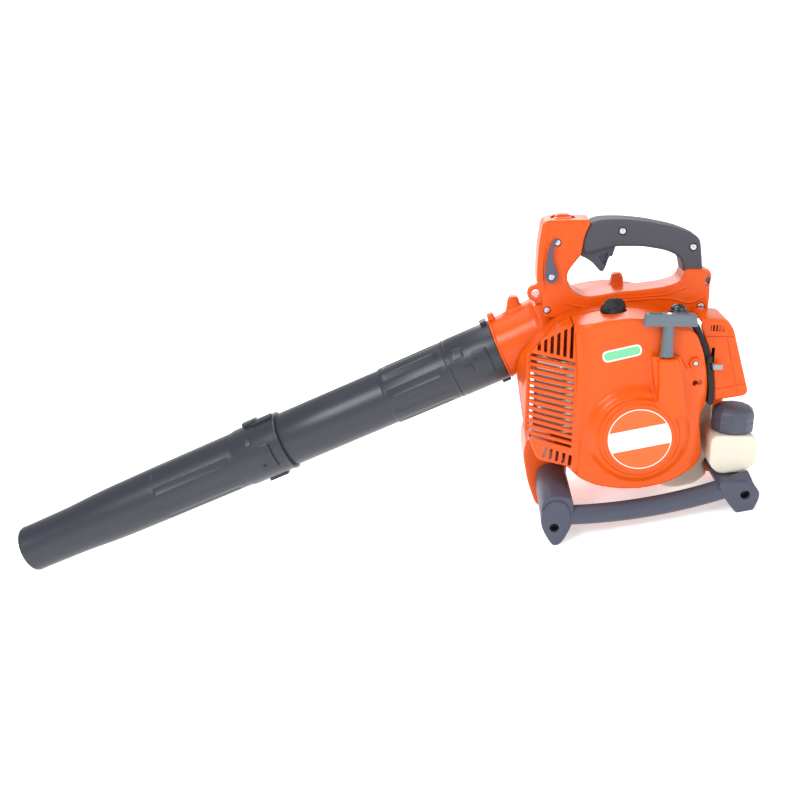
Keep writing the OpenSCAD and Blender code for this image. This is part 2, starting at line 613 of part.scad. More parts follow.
module fuel_cap() made("#4e5565") difference() {
    union() {
        translate([cap_x, cap_y, cap_base]) cylinder(h = cap_height - 4, r = cap_r);
        translate([cap_x, cap_y, cap_base + cap_height - 4]) cylinder(h = 4, r1 = cap_r, r2 = cap_r - 4);
    }
    translate([cap_x, cap_y, cap_base - 1]) cylinder(h = 17, r = neck_r + 0.6);
    for (a = [0:36:324]) translate([cap_x, cap_y, cap_base - 1]) rotate([0, 0, a])
        translate([cap_r - 0.9, -1.2, 0]) cube([3, 2.4, cap_height - 5]);
}
module fuel_cap_gasket() made(black) difference() {
    translate([cap_x, cap_y, 11.1]) cylinder(h = 2.4, r = neck_r - 0.4);
    translate([cap_x, cap_y, 10]) cylinder(h = 5, r = neck_r - 5);
}
module fuel_line() made(black) hose([[70, -24, -45], [70, -23.5, -36], [68, -23, -20], [64, -22.8, 0], [60, -23, 22],
    [58, -25, 36], [57, -31, 42], [56, -35, 46], [56, -35, 50.8]], 2.2);

// ---- Handle ----
module lug(at, outer, hole, y0, y1) difference() {
    rod(at, y0, y1, outer);
    rod(at, y0 - 1, y1 + 1, hole);
}
module strap_lugs(y0, y1) {
    lug([-103.5, 127], 9, strap_hole_r, y0, y1);
    difference() {
        union() {
            for (z = [142, 149]) rod([78, z], y0, y1, 7);
            block([71, y0, 142], [85, y1, 149]);
        }
        rear_slot(y0, y1);
    }
}
module rear_slot(y0, y1) {
    for (z = [142.5, 149.5]) rod([77.5, z], y0 - 30, y1 + 30, 2.6);
    block([74.9, y0 - 30, 142.5], [80.1, y1 + 30, 149.5]);
}
handle_screw_places = [[-83.1, 185.4], [-91.4, 112], [72, 118]];
grip_screw_places = [[-15, 197.5], [60, 181]];
module handle_shell(y0, y1, cavity0, cavity1) difference() {
    union() {
        difference() {
            union() {
                slab(y0, y1) polygon(handle_outline);
                slab(y0, y1) translate([-77, 209]) polygon([[-12, 0], [10, 0], [8, 2.5], [-10, 2.5]]);
            }
            slab(cavity0, cavity1) polygon(inset(handle_outline, shell_wall));
        }
        strap_lugs(max(y0, -5), min(y1, 5));
        for (at = handle_screw_places) rod(at, y0, y1, 4.5);
        rod(cruise_pivot, y0, y1, 5);
    }
    for (at = handle_screw_places) rod(at, y0 - 1, y1 + 1, 1.8);
    rod(cruise_pivot, y0 - 1, y1 + 1, 2);
    rear_slot(0, 0);
    rod([-103.5, 127], -30, 30, strap_hole_r);
    scroll_solid(fan_near - small_gap, fan_far, wall + small_gap);
    along_tube() translate([0, 0, 1 - duct_length + duct_block]) cylinder(h = 52, r1 = 39.3, r2 = 34.6);
    housing_tabs(fan_mid - 7.5, fan_mid + 7.5);
    block([-90, -8, 200], [-64, 8, 215]);
    block([-62, -8.2, 150], [-45, 8.2, 190]);
    block([-62, -2.2, 186], [-40, 2.2, 197]);
    block([-58, -17.6, 100], [-40, -14, 124]);
    rod(trigger_pivot, -30, 30, 2);
}
module handle_near_half() made(orange) handle_shell(-handle_half, 0, -handle_half + shell_wall, 1);
module handle_far_half() made(orange) handle_shell(0, handle_half, -1, handle_half - shell_wall);
module grip_shell(y0, y1, cavity0, cavity1) difference() {
    union() {
        difference() {
            slab(y0, y1) polygon(grip_outline);
            slab(cavity0, cavity1) polygon(inset(grip_outline, shell_wall));
        }
        for (at = grip_screw_places) rod(at, y0, y1, 4.5);
    }
    for (at = grip_screw_places) rod(at, y0 - 1, y1 + 1, 1.8);
    block([-62, -8.2, 150], [-17, 8.2, 190]);
    block([-62, -2.2, 186], [-40, 2.2, 197]);
    rod(trigger_pivot, -30, 30, 2);
}
module grip_near_half() made(grip_grey) grip_shell(-grip_half, 0, -grip_half + shell_wall, 1);
module grip_far_half() made(grip_grey) grip_shell(0, grip_half, -1, grip_half - shell_wall);
module throttle_trigger() made(slate) difference() {
    slab(-7, 7) polygon([[-56, 176], [-57, 169], [-50, 166], [-43.5, 161.5], [-38.5, 156], [-35.5, 152.5],
        [-32, 152], [-29.5, 157], [-27, 166], [-21.5, 176], [-22, 186], [-50, 187], [-57, 183]]);
    rod(trigger_pivot, -10, 10, 2.05);
    slab(-8, -3.5) polygon([[-37, 168], [-30, 160], [-27, 174]]);
    slab(-2, 2) polygon([[-60, 190], [-60, 182], [-56, 184], [-40, 184], [-20, 182], [-20, 190]]);
}
module trigger_pin() made(steel) rod(trigger_pivot, -handle_half + 4, handle_half - 4, 2);
module trigger_spring() made(steel) ring(trigger_pivot + [14, 8], -1.5, 1.5, 3.2, 2.2);
module throttle_cable() made(black) hose([[-46, 0, 189.8], [-56, 0, 193], [-70, 0, 192], [-78, 0, 182], [-81, 0, 165],
    [-80, 0, 148], [-76, -7, 137], [-68, -15.9, 127], [-57, -15.9, 118], [-49, -15.9, 108], [-40, -16.3, 102],
    [-20, -17, 102], [0, -18, 104.5], [15, -19, 105], [30, -20, 101], [44, -22, 92], [54, -25, 82],
    [58, -27.3, 76]], 1.6);
module cruise_lever() made(slate) difference() {
    union() {
        rod(cruise_pivot, -handle_half - 5.5, -handle_half - small_gap, 7);
        slab(-handle_half - 5.5, -handle_half - 2.5) polygon([for (s = [-1, 1], p = s < 0
            ? [[-94.5, 152], [-94, 163], [-92.8, 172], [-91, 181], [-88.5, 188.5], [-85.5, 191.5]]
            : [[-84, 190.5], [-86.5, 185.5], [-87.6, 178], [-87, 170], [-85, 162], [-82, 153]]) p]);
    }
    rod(cruise_pivot, -40, 0, 2.05);
}
module stop_switch() made(orange) difference() {
    union() {
        slab(-7, 7) polygon([[-85, 206], [-86, 212.5], [-81, 214], [-71, 213.5], [-67, 210], [-67.5, 206]]);
        rod(stop_pivot, -7, 7, 4);
    }
    rod(stop_pivot, -8, 8, 1.6);
}

// ---- Stand ----
module front_foot() made(slate) above_floor() difference() {
    union() {
        slab(foot_near, fan_near - small_gap) polygon(front_foot_outline);
        rod([-80, -84], foot_near, fan_near - small_gap, 17);
        rod([-80.5, -111.5], foot_near, fan_near - small_gap, 11);
    }
    rod([-83, -101.4], foot_near - 1, foot_near + 7, 5);
    rod([-83, -101.4], foot_near, fan_near, 2.6);
}
module rear_foot() made(slate) above_floor() difference() {
    slab(foot_near, fan_near - small_gap) polygon(rear_foot_outline);
    rod([112.4, -60], foot_near - 1, foot_near + 7, 5);
    rod([100, -60], foot_near + 50, fan_near, 2.6);
    block([80, shroud_joint - 2, -70], [92.5, fan_near - 2, -40]);
}
module stand_bar() made(slate) difference() {
    translate([-95.6, foot_near + bar_r + 1, 448.3]) rotate([90, 0, 0]) rotate([0, 0, -88.5])
        rotate_extrude(angle = 18.8, $fn = 180) translate([bar_bow, 0]) circle(r = bar_r, $fn = 64);
    slab(foot_near - 1, fan_near) polygon(front_foot_outline);
    slab(foot_near - 1, fan_near) polygon(rear_foot_outline);
    rod([-80, -84], foot_near - 1, fan_near, 17);
    rod([-80.5, -111.5], foot_near - 1, fan_near, 11);
}

// ---- Fasteners ----
module screw(at, y_head, y_end, head, shank) {
    rod(at, y_head, y_head + 1.6, head);
    rod(at, y_head + 1.5, y_end, shank);
}
module handle_screws() made(silver) {
    for (at = [handle_screw_places[0], handle_screw_places[2]])
        screw(at, -handle_half - 1.6, handle_half - 2, 3.3, 1.75);
    screw(handle_screw_places[1], -handle_half - 1.6, fan_near + wall - 0.4, 3.3, 1.75);
    for (at = grip_screw_places) screw(at, -grip_half - 1.6, grip_half - 2, 3.3, 1.75);
    screw(cruise_pivot, -handle_half - 7.3, handle_half - 2, 3.6, 1.95);
}
module housing_screws() made(silver) {
    for (at = cover_screw_places) difference() {
        rod(at, cover_near - 1.5, cover_near + 6, 2.15);
        rod(at, cover_near - 2, cover_near, 1.2);
    }
    for (at = housing_screw_places) rod(at, engine_mid + 16.2, fan_near + wall, 2.15);
}
module stand_screws() made(black) {
    screw([-83, -101.4], foot_near + 4, fan_near - 2, 4.6, 2.55);
    rod([112.4, -60], foot_near + 4, foot_near + 6.9, 4.6);
    rod([100, -60], foot_near + 52, fan_near - 2, 2.55);
}

volute_engine_side();
volute_intake_side();
intake_guard();
fan_impeller();
fan_nut();
upper_tube();
nozzle_tube();
engine_cover();
cover_badges();
starter_pulley();
recoil_spring();
starter_rope();
starter_handle();
flywheel();
ignition_coil();
spark_plug();
plug_boot();
ignition_lead();
cylinder_block();
piston();
piston_pin();
connecting_rod();
crank_throw();
crankshaft_fan_end();
crankshaft_starter_end();
crankcase_far_half();
crankcase_near_half();
main_bearings();
oil_seals();
muffler();
muffler_gasket();
intake_insulator();
carburettor();
throttle_valve();
choke_lever();
air_filter_base();
air_filter_element();
air_filter_cover();
primer_bulb();
fuel_tank();
fuel_cap();
fuel_cap_gasket();
fuel_line();
handle_near_half();
handle_far_half();
grip_near_half();
grip_far_half();
throttle_trigger();
trigger_pin();
trigger_spring();
throttle_cable();
cruise_lever();
stop_switch();
front_foot();
rear_foot();
stand_bar();
handle_screws();
housing_screws();
stand_screws();
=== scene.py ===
import json
import math

import bpy
from mathutils import Matrix, Vector


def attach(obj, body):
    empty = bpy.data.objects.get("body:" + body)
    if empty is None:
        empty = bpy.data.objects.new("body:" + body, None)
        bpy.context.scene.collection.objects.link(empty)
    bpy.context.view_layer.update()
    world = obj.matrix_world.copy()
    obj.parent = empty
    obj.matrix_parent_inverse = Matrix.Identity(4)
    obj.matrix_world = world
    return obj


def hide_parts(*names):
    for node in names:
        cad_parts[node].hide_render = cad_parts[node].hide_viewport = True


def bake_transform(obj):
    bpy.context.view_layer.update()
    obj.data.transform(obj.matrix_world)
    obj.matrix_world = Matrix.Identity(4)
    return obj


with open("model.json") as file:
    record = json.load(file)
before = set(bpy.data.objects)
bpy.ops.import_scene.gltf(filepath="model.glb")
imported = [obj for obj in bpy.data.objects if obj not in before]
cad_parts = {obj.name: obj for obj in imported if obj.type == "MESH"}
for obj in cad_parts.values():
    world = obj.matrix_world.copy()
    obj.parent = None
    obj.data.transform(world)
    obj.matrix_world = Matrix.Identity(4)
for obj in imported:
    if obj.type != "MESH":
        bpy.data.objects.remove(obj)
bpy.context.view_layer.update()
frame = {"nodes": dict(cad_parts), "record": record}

# ---- Studio ----
# A plain pale floor with soft boxes above, in front and behind, and the camera in front of the engine side.
# The camera is rolled a little, as the machine is shown with its tube pointing down to the left.
bpy.ops.object.select_all(action="DESELECT")


def linear(code):
    """sRGB hex to linear RGBA."""
    parts = [int(code[i:i + 2], 16) / 255 for i in (1, 3, 5)]
    return [c / 12.92 if c <= 0.04045 else ((c + 0.055) / 1.055) ** 2.4 for c in parts] + [1.0]


def add_node(tree, kind, links=(), **settings):
    """Adds a node, sets its properties and sockets, and links (input name, output socket) pairs."""
    node = tree.nodes.new(kind)
    for name, value in settings.items():
        if hasattr(node, name):
            setattr(node, name, value)
        else:
            node.inputs[name.replace("_", " ")].default_value = value
    for name, socket in links:
        tree.links.new(socket, node.inputs[name])
    return node


bpy.ops.mesh.primitive_plane_add(size=80, location=(0, 0, -0.0002))
floor = bpy.context.object
floor.name = "floor"
floor_paint = bpy.data.materials.new("matt white studio paint")
floor_paint.use_nodes = True
paint = floor_paint.node_tree.nodes["Principled BSDF"]
paint.inputs["Base Color"].default_value = linear("#f6f6f6")
paint.inputs["Roughness"].default_value = 0.9
paint.inputs["Emission Color"].default_value = linear("#ffffff")
paint.inputs["Emission Strength"].default_value = 0.5
floor.data.materials.append(floor_paint)

bpy.ops.mesh.primitive_cylinder_add(vertices=64, radius=35, depth=12, end_fill_type="NOTHING", location=(0,
        0, 6))
wall = bpy.context.object
wall.name = "studio_wall"
wall_paint = bpy.data.materials.new("lit white studio wall")
wall_paint.use_nodes = True
glow = wall_paint.node_tree.nodes["Principled BSDF"]
glow.inputs["Base Color"].default_value = linear("#000000")
glow.inputs["Emission Color"].default_value = linear("#ffffff")
glow.inputs["Emission Strength"].default_value = 1.0
wall.data.materials.append(wall_paint)

world = bpy.data.worlds.new("studio")
world.use_nodes = True
world.node_tree.nodes["Background"].inputs["Color"].default_value = linear("#ffffff")
world.node_tree.nodes["Background"].inputs["Strength"].default_value = 0.5
bpy.context.scene.world = world
bpy.context.scene.view_settings.view_transform = "Standard"

for name, place_m, watts, size_m in (("key", (-0.9, -1.5, 1.7), 26, 0.9),
        ("fill", (1.5, -1.2, 0.9), 8, 0.8), ("top", (0.1, 0.2, 1.9), 13, 1.2),
        ("back", (0.3, 1.6, 1.2), 12, 1.2)):
    bpy.ops.object.light_add(type="AREA", location=place_m)
    lamp = bpy.context.object
    lamp.name = "light_" + name
    lamp.data.energy = watts
    lamp.data.size = size_m
    aim = Vector((0.1, 0, 0.15)) - Vector(place_m)
    lamp.rotation_euler = aim.to_track_quat("-Z", "Y").to_euler()

ROLL, AZIMUTH, ELEVATION = (math.radians(angle) for angle in (13.3, 7, 17))
back = Vector((math.sin(AZIMUTH) * math.cos(ELEVATION), -math.cos(AZIMUTH) * math.cos(ELEVATION),
               math.sin(ELEVATION)))
right = Vector((math.cos(AZIMUTH), math.sin(AZIMUTH), 0))
up = back.cross(right)
bpy.ops.object.camera_add()
camera = bpy.context.object
camera.name = "camera"
camera.data.sensor_width = 36
camera.data.lens = 49.5
turned = Matrix((right * math.cos(ROLL) - up * math.sin(ROLL),
                 right * math.sin(ROLL) + up * math.cos(ROLL), back)).transposed()
camera.matrix_world = Matrix.Translation((0.2089, -1.1665, 0.5224)) @ turned.to_4x4()
bpy.context.scene.camera = camera

# ---- Fan housing ----
# The scroll around the impeller, moulded in glossy orange ABS as two halves that are screwed together.
# Its outlet narrows into a round spigot for the tube, and its near side carries a shroud for the muffler.
joint_at = {j["name"]: j for j in frame["record"]["behaviour"]["joints"]}
LEAN = math.radians(12.5)
ENGINE = (Matrix.Translation(joint_at["fan_spin"]["pos_m"]) @ Matrix.Rotation(LEAN, 4, "Y")
          @ Matrix.Scale(0.001, 4))
PITCH = math.radians(24.7)
OUTLET_ANGLE = math.radians(114.7)
FAN_NEAR, FAN_MID, FAN_FAR = -14, 25, 64


def duct_point(off, along):
    return Vector((off * math.cos(OUTLET_ANGLE) - along * math.cos(PITCH),
                   off * math.sin(OUTLET_ANGLE) - along * math.sin(PITCH)))


def scroll_outline(extra):
    """The scroll's outline in millimetres: its radius grows from the tongue to the outlet."""
    sweep = math.radians(360 + 114.7 - 150)
    points = []
    for i in range(73):
        radius = 85 + 48 * (i / 72) ** 2.2 + extra
        angle = math.radians(150) + sweep * i / 72
        points.append((radius * math.cos(angle), radius * math.sin(angle)))
    return points + [tuple(duct_point(145.5 + extra, 50)), tuple(duct_point(75.5 - extra, 50))]


def open_edit():
    bpy.ops.object.mode_set(mode="EDIT")
    bpy.ops.mesh.select_all(action="SELECT")


def close_edit():
    """Turns every face outwards and leaves edit mode."""
    bpy.ops.mesh.select_all(action="SELECT")
    bpy.ops.mesh.normals_make_consistent(inside=False)
    bpy.ops.object.mode_set(mode="OBJECT")


def plate(name, outline, low, high, upright=False):
    """A filled outline in the engine's X-Z plane pushed out along Y, or an X-Y outline pushed up along Z."""
    bpy.ops.object.select_all(action="DESELECT")
    bpy.ops.mesh.primitive_circle_add(vertices=len(outline), fill_type="NGON")
    piece = bpy.context.object
    piece.name = name
    for vert, (a, b) in zip(piece.data.vertices, outline):
        vert.co = (a, b, low) if upright else (a, low, b)
    push = (0, 0, high - low) if upright else (0, high - low, 0)
    open_edit()
    bpy.ops.mesh.extrude_region_move(TRANSFORM_OT_translate={"value": push})
    close_edit()
    return piece


def rod(name, start, end, radius, end_radius=None, sides=64):
    """A round rod or cone between two points."""
    start, end = Vector(start), Vector(end)
    bpy.ops.object.select_all(action="DESELECT")
    bpy.ops.mesh.primitive_cone_add(vertices=sides, radius1=radius, depth=(end - start).length,
                                    radius2=radius if end_radius is None else end_radius,
                                    location=(start + end) / 2,
                                    rotation=(end - start).to_track_quat("Z", "Y").to_euler())
    bpy.ops.object.transform_apply(location=True, rotation=True, scale=True)
    piece = bpy.context.object
    piece.name = name
    return piece


def block(name, low, high):
    bpy.ops.object.select_all(action="DESELECT")
    bpy.ops.mesh.primitive_cube_add(size=1, location=[(a + b) / 2 for a, b in zip(low, high)],
                                    scale=[b - a for a, b in zip(low, high)])
    bpy.ops.object.transform_apply(location=True, rotation=True, scale=True)
    piece = bpy.context.object
    piece.name = name
    return piece


def modify(piece, kind, **settings):
    """Adds a modifier and applies it."""
    bpy.ops.object.select_all(action="DESELECT")
    bpy.context.view_layer.objects.active = piece
    piece.select_set(True)
    change = piece.modifiers.new(kind, kind)
    for name, value in settings.items():
        setattr(change, name, value)
    bpy.ops.object.modifier_apply(modifier=change.name)


def bevel(piece, width, segments, angle=30):
    """Rounds the edges that turn by more than an angle in degrees."""
    modify(piece, "BEVEL", width=width, segments=segments, limit_method="ANGLE",
           angle_limit=math.radians(angle))


def melt(piece, voxel, factor, times):
    """Melts joined forms into one skin and smooths its corners, as in a mould."""
    modify(piece, "REMESH", mode="VOXEL", voxel_size=voxel)
    modify(piece, "SMOOTH", factor=factor, iterations=times)


def combine(piece, tool, how="DIFFERENCE"):
    modify(piece, "BOOLEAN", object=tool, operation=how, solver="MANIFOLD")
    bpy.data.objects.remove(tool)


def join(pieces, name):
    bpy.ops.object.select_all(action="DESELECT")
    for piece in pieces:
        piece.select_set(True)
    bpy.context.view_layer.objects.active = pieces[0]
    bpy.ops.object.join()
    pieces[0].name = name
    return pieces[0]


def copy_of(piece, name):
    twin = piece.copy()
    twin.data = piece.data.copy()
    twin.name = name
    bpy.context.collection.objects.link(twin)
    return twin


def soften(outline, reach, steps=5):
    """Rounds the corners of an outline."""
    smooth = []
    for i, corner in enumerate(outline):
        at = Vector(corner)
        before, after = Vector(outline[i - 1]) - at, Vector(outline[(i + 1) % len(outline)]) - at
        a = at + before.normalized() * min(reach, before.length * 0.48)
        b = at + after.normalized() * min(reach, after.length * 0.48)
        for k in range(steps + 1):
            t = k / steps
            smooth.append(tuple((1 - t) ** 2 * a + 2 * t * (1 - t) * at + t * t * b))
    return smooth


def inset(outline, d):
    """Moves an outline inwards by d; the points run anticlockwise."""
    moved = []
    for i, point in enumerate(outline):
        a, b, c = Vector(outline[i - 1]), Vector(point), Vector(outline[(i + 1) % len(outline)])
        n1, n2 = (b - a).normalized(), (c - b).normalized()
        n1, n2 = Vector((-n1.y, n1.x)), Vector((-n2.y, n2.x))
        moved.append(tuple(b + d * (n1 + n2) / max(0.3, 1 + n1.dot(n2))))
    return moved


def settle(piece, material, sharp=32):
    """Leans the piece back into the row's frame, smooths its shading and gives it its material."""
    piece.data.transform(ENGINE)
    piece.data.materials.clear()
    piece.data.materials.append(material)
    bpy.ops.object.select_all(action="DESELECT")
    piece.select_set(True)
    bpy.context.view_layer.objects.active = piece
    bpy.ops.object.shade_smooth_by_angle(angle=math.radians(sharp))


def moulded_plastic(name, code, shade, roughness, grain_mm, relief_mm, specular=0.3):
    """Moulded plastic: slow colour drift between two hexes, and the fine texture of the mould."""
    material = bpy.data.materials.new(name)
    material.use_nodes = True
    tree = material.node_tree
    shader = tree.nodes["Principled BSDF"]
    place = add_node(tree, "ShaderNodeTexCoord").outputs["Object"]
    drift = add_node(tree, "ShaderNodeTexNoise", [("Vector", place)], Scale=11.0, Detail=3.0)
    colour = add_node(tree, "ShaderNodeMix", [("Factor", drift.outputs["Fac"])], data_type="RGBA")
    colour.inputs["A"].default_value = linear(code)
    colour.inputs["B"].default_value = linear(shade)
    tree.links.new(colour.outputs["Result"], shader.inputs["Base Color"])
    grain = add_node(tree, "ShaderNodeTexNoise", [("Vector", place)], Scale=1000 / grain_mm, Detail=2.0)
    rub = add_node(tree, "ShaderNodeMapRange", [("Value", grain.outputs["Fac"])],
                   To_Min=roughness - 0.05, To_Max=roughness + 0.07)
    tree.links.new(rub.outputs["Result"], shader.inputs["Roughness"])
    bump = add_node(tree, "ShaderNodeBump", [("Height", grain.outputs["Fac"])],
                    Distance=relief_mm / 1000, Strength=1.0)
    tree.links.new(bump.outputs["Normal"], shader.inputs["Normal"])
    shader.inputs["IOR"].default_value = 1.53
    shader.inputs["Specular IOR Level"].default_value = specular
    return material


# Gloss-moulded ABS: even, bright, with a soft wide highlight and hardly any texture
orange_abs = moulded_plastic("gloss orange ABS", "#e05606", "#d95104", 0.24, 1.4, 0.012)

scroll = plate("scroll", scroll_outline(3), FAN_NEAR, FAN_FAR)
bevel(scroll, 7, 4, 60)
TUBE = (Matrix.Translation((duct_point(109.5, 103)[0], FAN_MID, duct_point(109.5, 103)[1]))
        @ Matrix.Rotation(math.radians(-114.7), 4, "Y"))


def along_tube(across, beside, forward):
    """A point in the tube's frame: +across is its top, +beside its far side, and forward 0 the joint."""
    return TUBE @ Vector((across, beside, forward))


cone = rod("cone", along_tube(0, 0, -56), along_tube(0, 0, 0), 39, 34.5, 96)
combine(scroll, cone, "UNION")
for outline in ([(-62, -60), (-108, -38), (-112, -58), (-106, -90), (-95, -121), (-78, -121), (-66, -106),
                (-62, -84)], [(78, -60), (90, -74), (102, -76), (110, -62), (100, -38), (92, -36)]):
    combine(scroll, plate("lug", soften(outline, 8), FAN_NEAR, FAN_FAR), "UNION")
for x, z in ((-12.5, 139.5), (-126, 112)):
    tab = plate("tab", soften([(x - 9, z - 22), (x + 9, z - 22), (x + 6, z + 6), (x - 6, z + 6)], 5),
                FAN_MID - 7, FAN_MID + 7)
    combine(scroll, tab, "UNION")
melt(scroll, 1.7, 0.6, 9)
hollow = plate("hollow", scroll_outline(0), FAN_NEAR + 3, FAN_FAR - 3)
combine(scroll, hollow)
combine(scroll, rod("inlet", (0, 50, 0), (0, 80, 0), 62, sides=96))
combine(scroll, rod("shaft hole", (0, -30, 0), (0, 0, 0), 26))
for start, reach, radius, end_radius in ((-54, 1, 35, 29), (0, 3, 34.3, 34.3)):
    combine(scroll, rod("way", along_tube(0, 0, start), along_tube(0, 0, reach), radius, end_radius, 96))
ground = plate("ground", [(-500, -60), (500, -60), (500, 0), (-500, 0)], -200, 200)
ground.data.transform(Matrix.Rotation(-LEAN, 4, "Y") @ Matrix.Translation((0, 0, -101)))
combine(scroll, ground)

rim = rod("rim", along_tube(0, 0, -2.5), along_tube(0, 0, 0), 35.6, sides=96)
combine(rim, rod("bore", along_tube(0, 0, -5), along_tube(0, 0, 2), 31.0, sides=96))
spigot = rod("spigot", along_tube(0, 0, -3), along_tube(0, 0, 32), 31.5, sides=96)
combine(spigot, rod("bore", along_tube(0, 0, -6), along_tube(0, 0, 34), 29, sides=96))
bevel(rim, 0.8, 2, 40)
tab_block = block("screw tab", (33.5, -6, -9), (42.5, 6, -1.5))
tab_block.data.transform(TUBE)
bevel(tab_block, 2, 3)

COVER = [(-122, 38), (-115, -8), (-104, -36), (-99, -47), (-68, -43), (-58, -52), (-40, -59), (-20, -62),
         (-8, -62.5), (8, -61.5), (27, -57), (44, -50), (62, -39), (73, -30), (69, -12), (65.5, 8),
         (65, 18), (72, 31), (72.5, 45), (69, 66), (63, 87), (53.5, 108), (24, 118), (8, 122), (-15, 123),
         (-40, 119), (-70, 112), (-85, 104), (-119, 62)]
PLAN = [(-127, 0), (-113, -45), (-68, -88), (-60, -96), (-44, -99), (44, -99), (60, -95), (72, -84),
        (75, -70), (76, 0)]
shroud = plate("shroud", soften(COVER, 7), -45, FAN_NEAR + 0.5)
combine(shroud, plate("plan", PLAN, -200, 200, upright=True), "INTERSECT")
inner = plate("inner", soften(inset(COVER, 3), 6), -46, FAN_NEAR + 1)
combine(inner, plate("plan", inset(PLAN, 3), -200, 200, upright=True), "INTERSECT")
combine(shroud, inner)
for low, high in (((-130, -20.5, 96), (100, -10, 200)), ((-38, -46, -90), (100, -10, -30)),
                  ((50, -46, -60), (100, -10, 130))):
    combine(shroud, block("way", low, high))
combine(shroud, rod("boot way", (-24, -47, 90), (-24, -47, 150), 11))
combine(shroud, rod("boot way", (-25, -60, 90), (-25, -60, 150), 13))

far_half = copy_of(scroll, "fan_housing_intake_side")
combine(scroll, block("split", (-300, FAN_MID - 0.15, -200), (300, 90, 200)))
combine(far_half, block("split", (-300, -90, -200), (300, FAN_MID + 0.15, 200)))
near_half = join([scroll, rim, spigot, tab_block, shroud], "fan_housing_engine_side")
for half, node in ((near_half, "volute_engine_side"), (far_half, "volute_intake_side")):
    settle(half, orange_abs, 40)
    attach(half, "housing")
    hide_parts(node)

# ---- Intake guard ----
# A round grid of charcoal nylon over the air inlet, moulded as rings joined by spokes and held by four
# small screws. It keeps leaves and fingers away from the impeller.


def ring(name, at, radius, thickness, sides=96):
    """A round ring about the engine's Y axis."""
    bpy.ops.object.select_all(action="DESELECT")
    bpy.ops.mesh.primitive_torus_add(major_radius=radius, minor_radius=thickness, major_segments=sides,
                                     minor_segments=12, location=at, rotation=(math.pi / 2, 0, 0))
    bpy.ops.object.transform_apply(location=True, rotation=True, scale=True)
    bpy.context.object.name = name
    return bpy.context.object


# Textured nylon: dark blue-grey, a broad dull sheen, tool texture about 0.8 mm so that it shows
charcoal_nylon = moulded_plastic("charcoal textured nylon", "#353943", "#2f323b", 0.4, 0.8, 0.03)
flange = rod("flange", (0, 64.3, 0), (0, 67, 0), 84, sides=128)
combine(flange, rod("hole", (0, 60, 0), (0, 70, 0), 73, sides=128))
collar = rod("collar", (0, 66, 0), (0, 76, 0), 79.5, 77.5, sides=128)
combine(collar, rod("hole", (0, 60, 0), (0, 80, 0), 74, sides=128))
bevel(collar, 1.2, 3, 40)
parts = [flange, collar, rod("hub", (0, 71.5, 0), (0, 75.6, 0), 9, 7.5)]
bevel(parts[2], 1, 3, 40)
for radius in (18, 29, 40, 51, 62):
    parts.append(ring("grid ring", (0, 73.6, 0), radius, 1.5))
spoke = block("spoke", (7, 72.2, -1.1), (75, 75, 1.1))
bevel(spoke, 0.7, 2)
for k in range(16):
    turned_spoke = copy_of(spoke, "spoke")
    turned_spoke.data.transform(Matrix.Rotation(math.tau * k / 16, 4, "Y"))
    parts.append(turned_spoke)
bpy.data.objects.remove(spoke)
for k in range(4):
    angle = math.radians(45 + 90 * k)
    head = rod("screw", (81.6 * math.cos(angle), 66.8, 81.6 * math.sin(angle)),
               (81.6 * math.cos(angle), 68.2, 81.6 * math.sin(angle)), 2.4, sides=24)
    bevel(head, 0.5, 2, 40)
    parts.append(head)
guard = join(parts, "intake_grid")
settle(guard, charcoal_nylon)
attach(guard, "housing")
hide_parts("intake_guard")

# ---- Impeller ----
# The radial fan, moulded in nylon on the crankshaft's end, with its steel nut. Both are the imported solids,
# which show through the guard, and they only need their finishes.


def metal(name, code, roughness, grain_mm, relief_mm, metallic=1.0):
    """Bare or plated metal with a fine machined or cast texture."""
    material = bpy.data.materials.new(name)
    material.use_nodes = True
    tree = material.node_tree
    shader = tree.nodes["Principled BSDF"]
    shader.inputs["Base Color"].default_value = linear(code)
    shader.inputs["Metallic"].default_value = metallic
    place = add_node(tree, "ShaderNodeTexCoord").outputs["Object"]
    grain = add_node(tree, "ShaderNodeTexNoise", [("Vector", place)], Scale=1000 / grain_mm, Detail=3.0)
    rub = add_node(tree, "ShaderNodeMapRange", [("Value", grain.outputs["Fac"])],
                   To_Min=roughness - 0.08, To_Max=roughness + 0.1)
    tree.links.new(rub.outputs["Result"], shader.inputs["Roughness"])
    bump = add_node(tree, "ShaderNodeBump", [("Height", grain.outputs["Fac"])],
                    Distance=relief_mm / 1000, Strength=1.0)
    tree.links.new(bump.outputs["Normal"], shader.inputs["Normal"])
    return material


def finish(material, *nodes):
    """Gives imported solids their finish."""
    for node in nodes:
        solid = frame["nodes"][node]
        solid.data.materials.clear()
        solid.data.materials.append(material)


# Zinc-plated steel: pale, slightly blue, soft bright highlights
zinc_steel = metal("zinc-plated steel", "#c9ccd2", 0.3, 0.5, 0.005)
# Ground steel: darker and sharper
ground_steel = metal("ground steel", "#8d9095", 0.25, 0.3, 0.004)
finish(charcoal_nylon, "fan_impeller", "starter_pulley")
finish(zinc_steel, "fan_nut")

# ---- Air tube ----
# Two blow-moulded polypropylene tubes in satin charcoal. Each has a collar with a raised bayonet band, and
# long shallow flutes behind it that stiffen the wall; the nozzle's end narrows to a plain round tip.


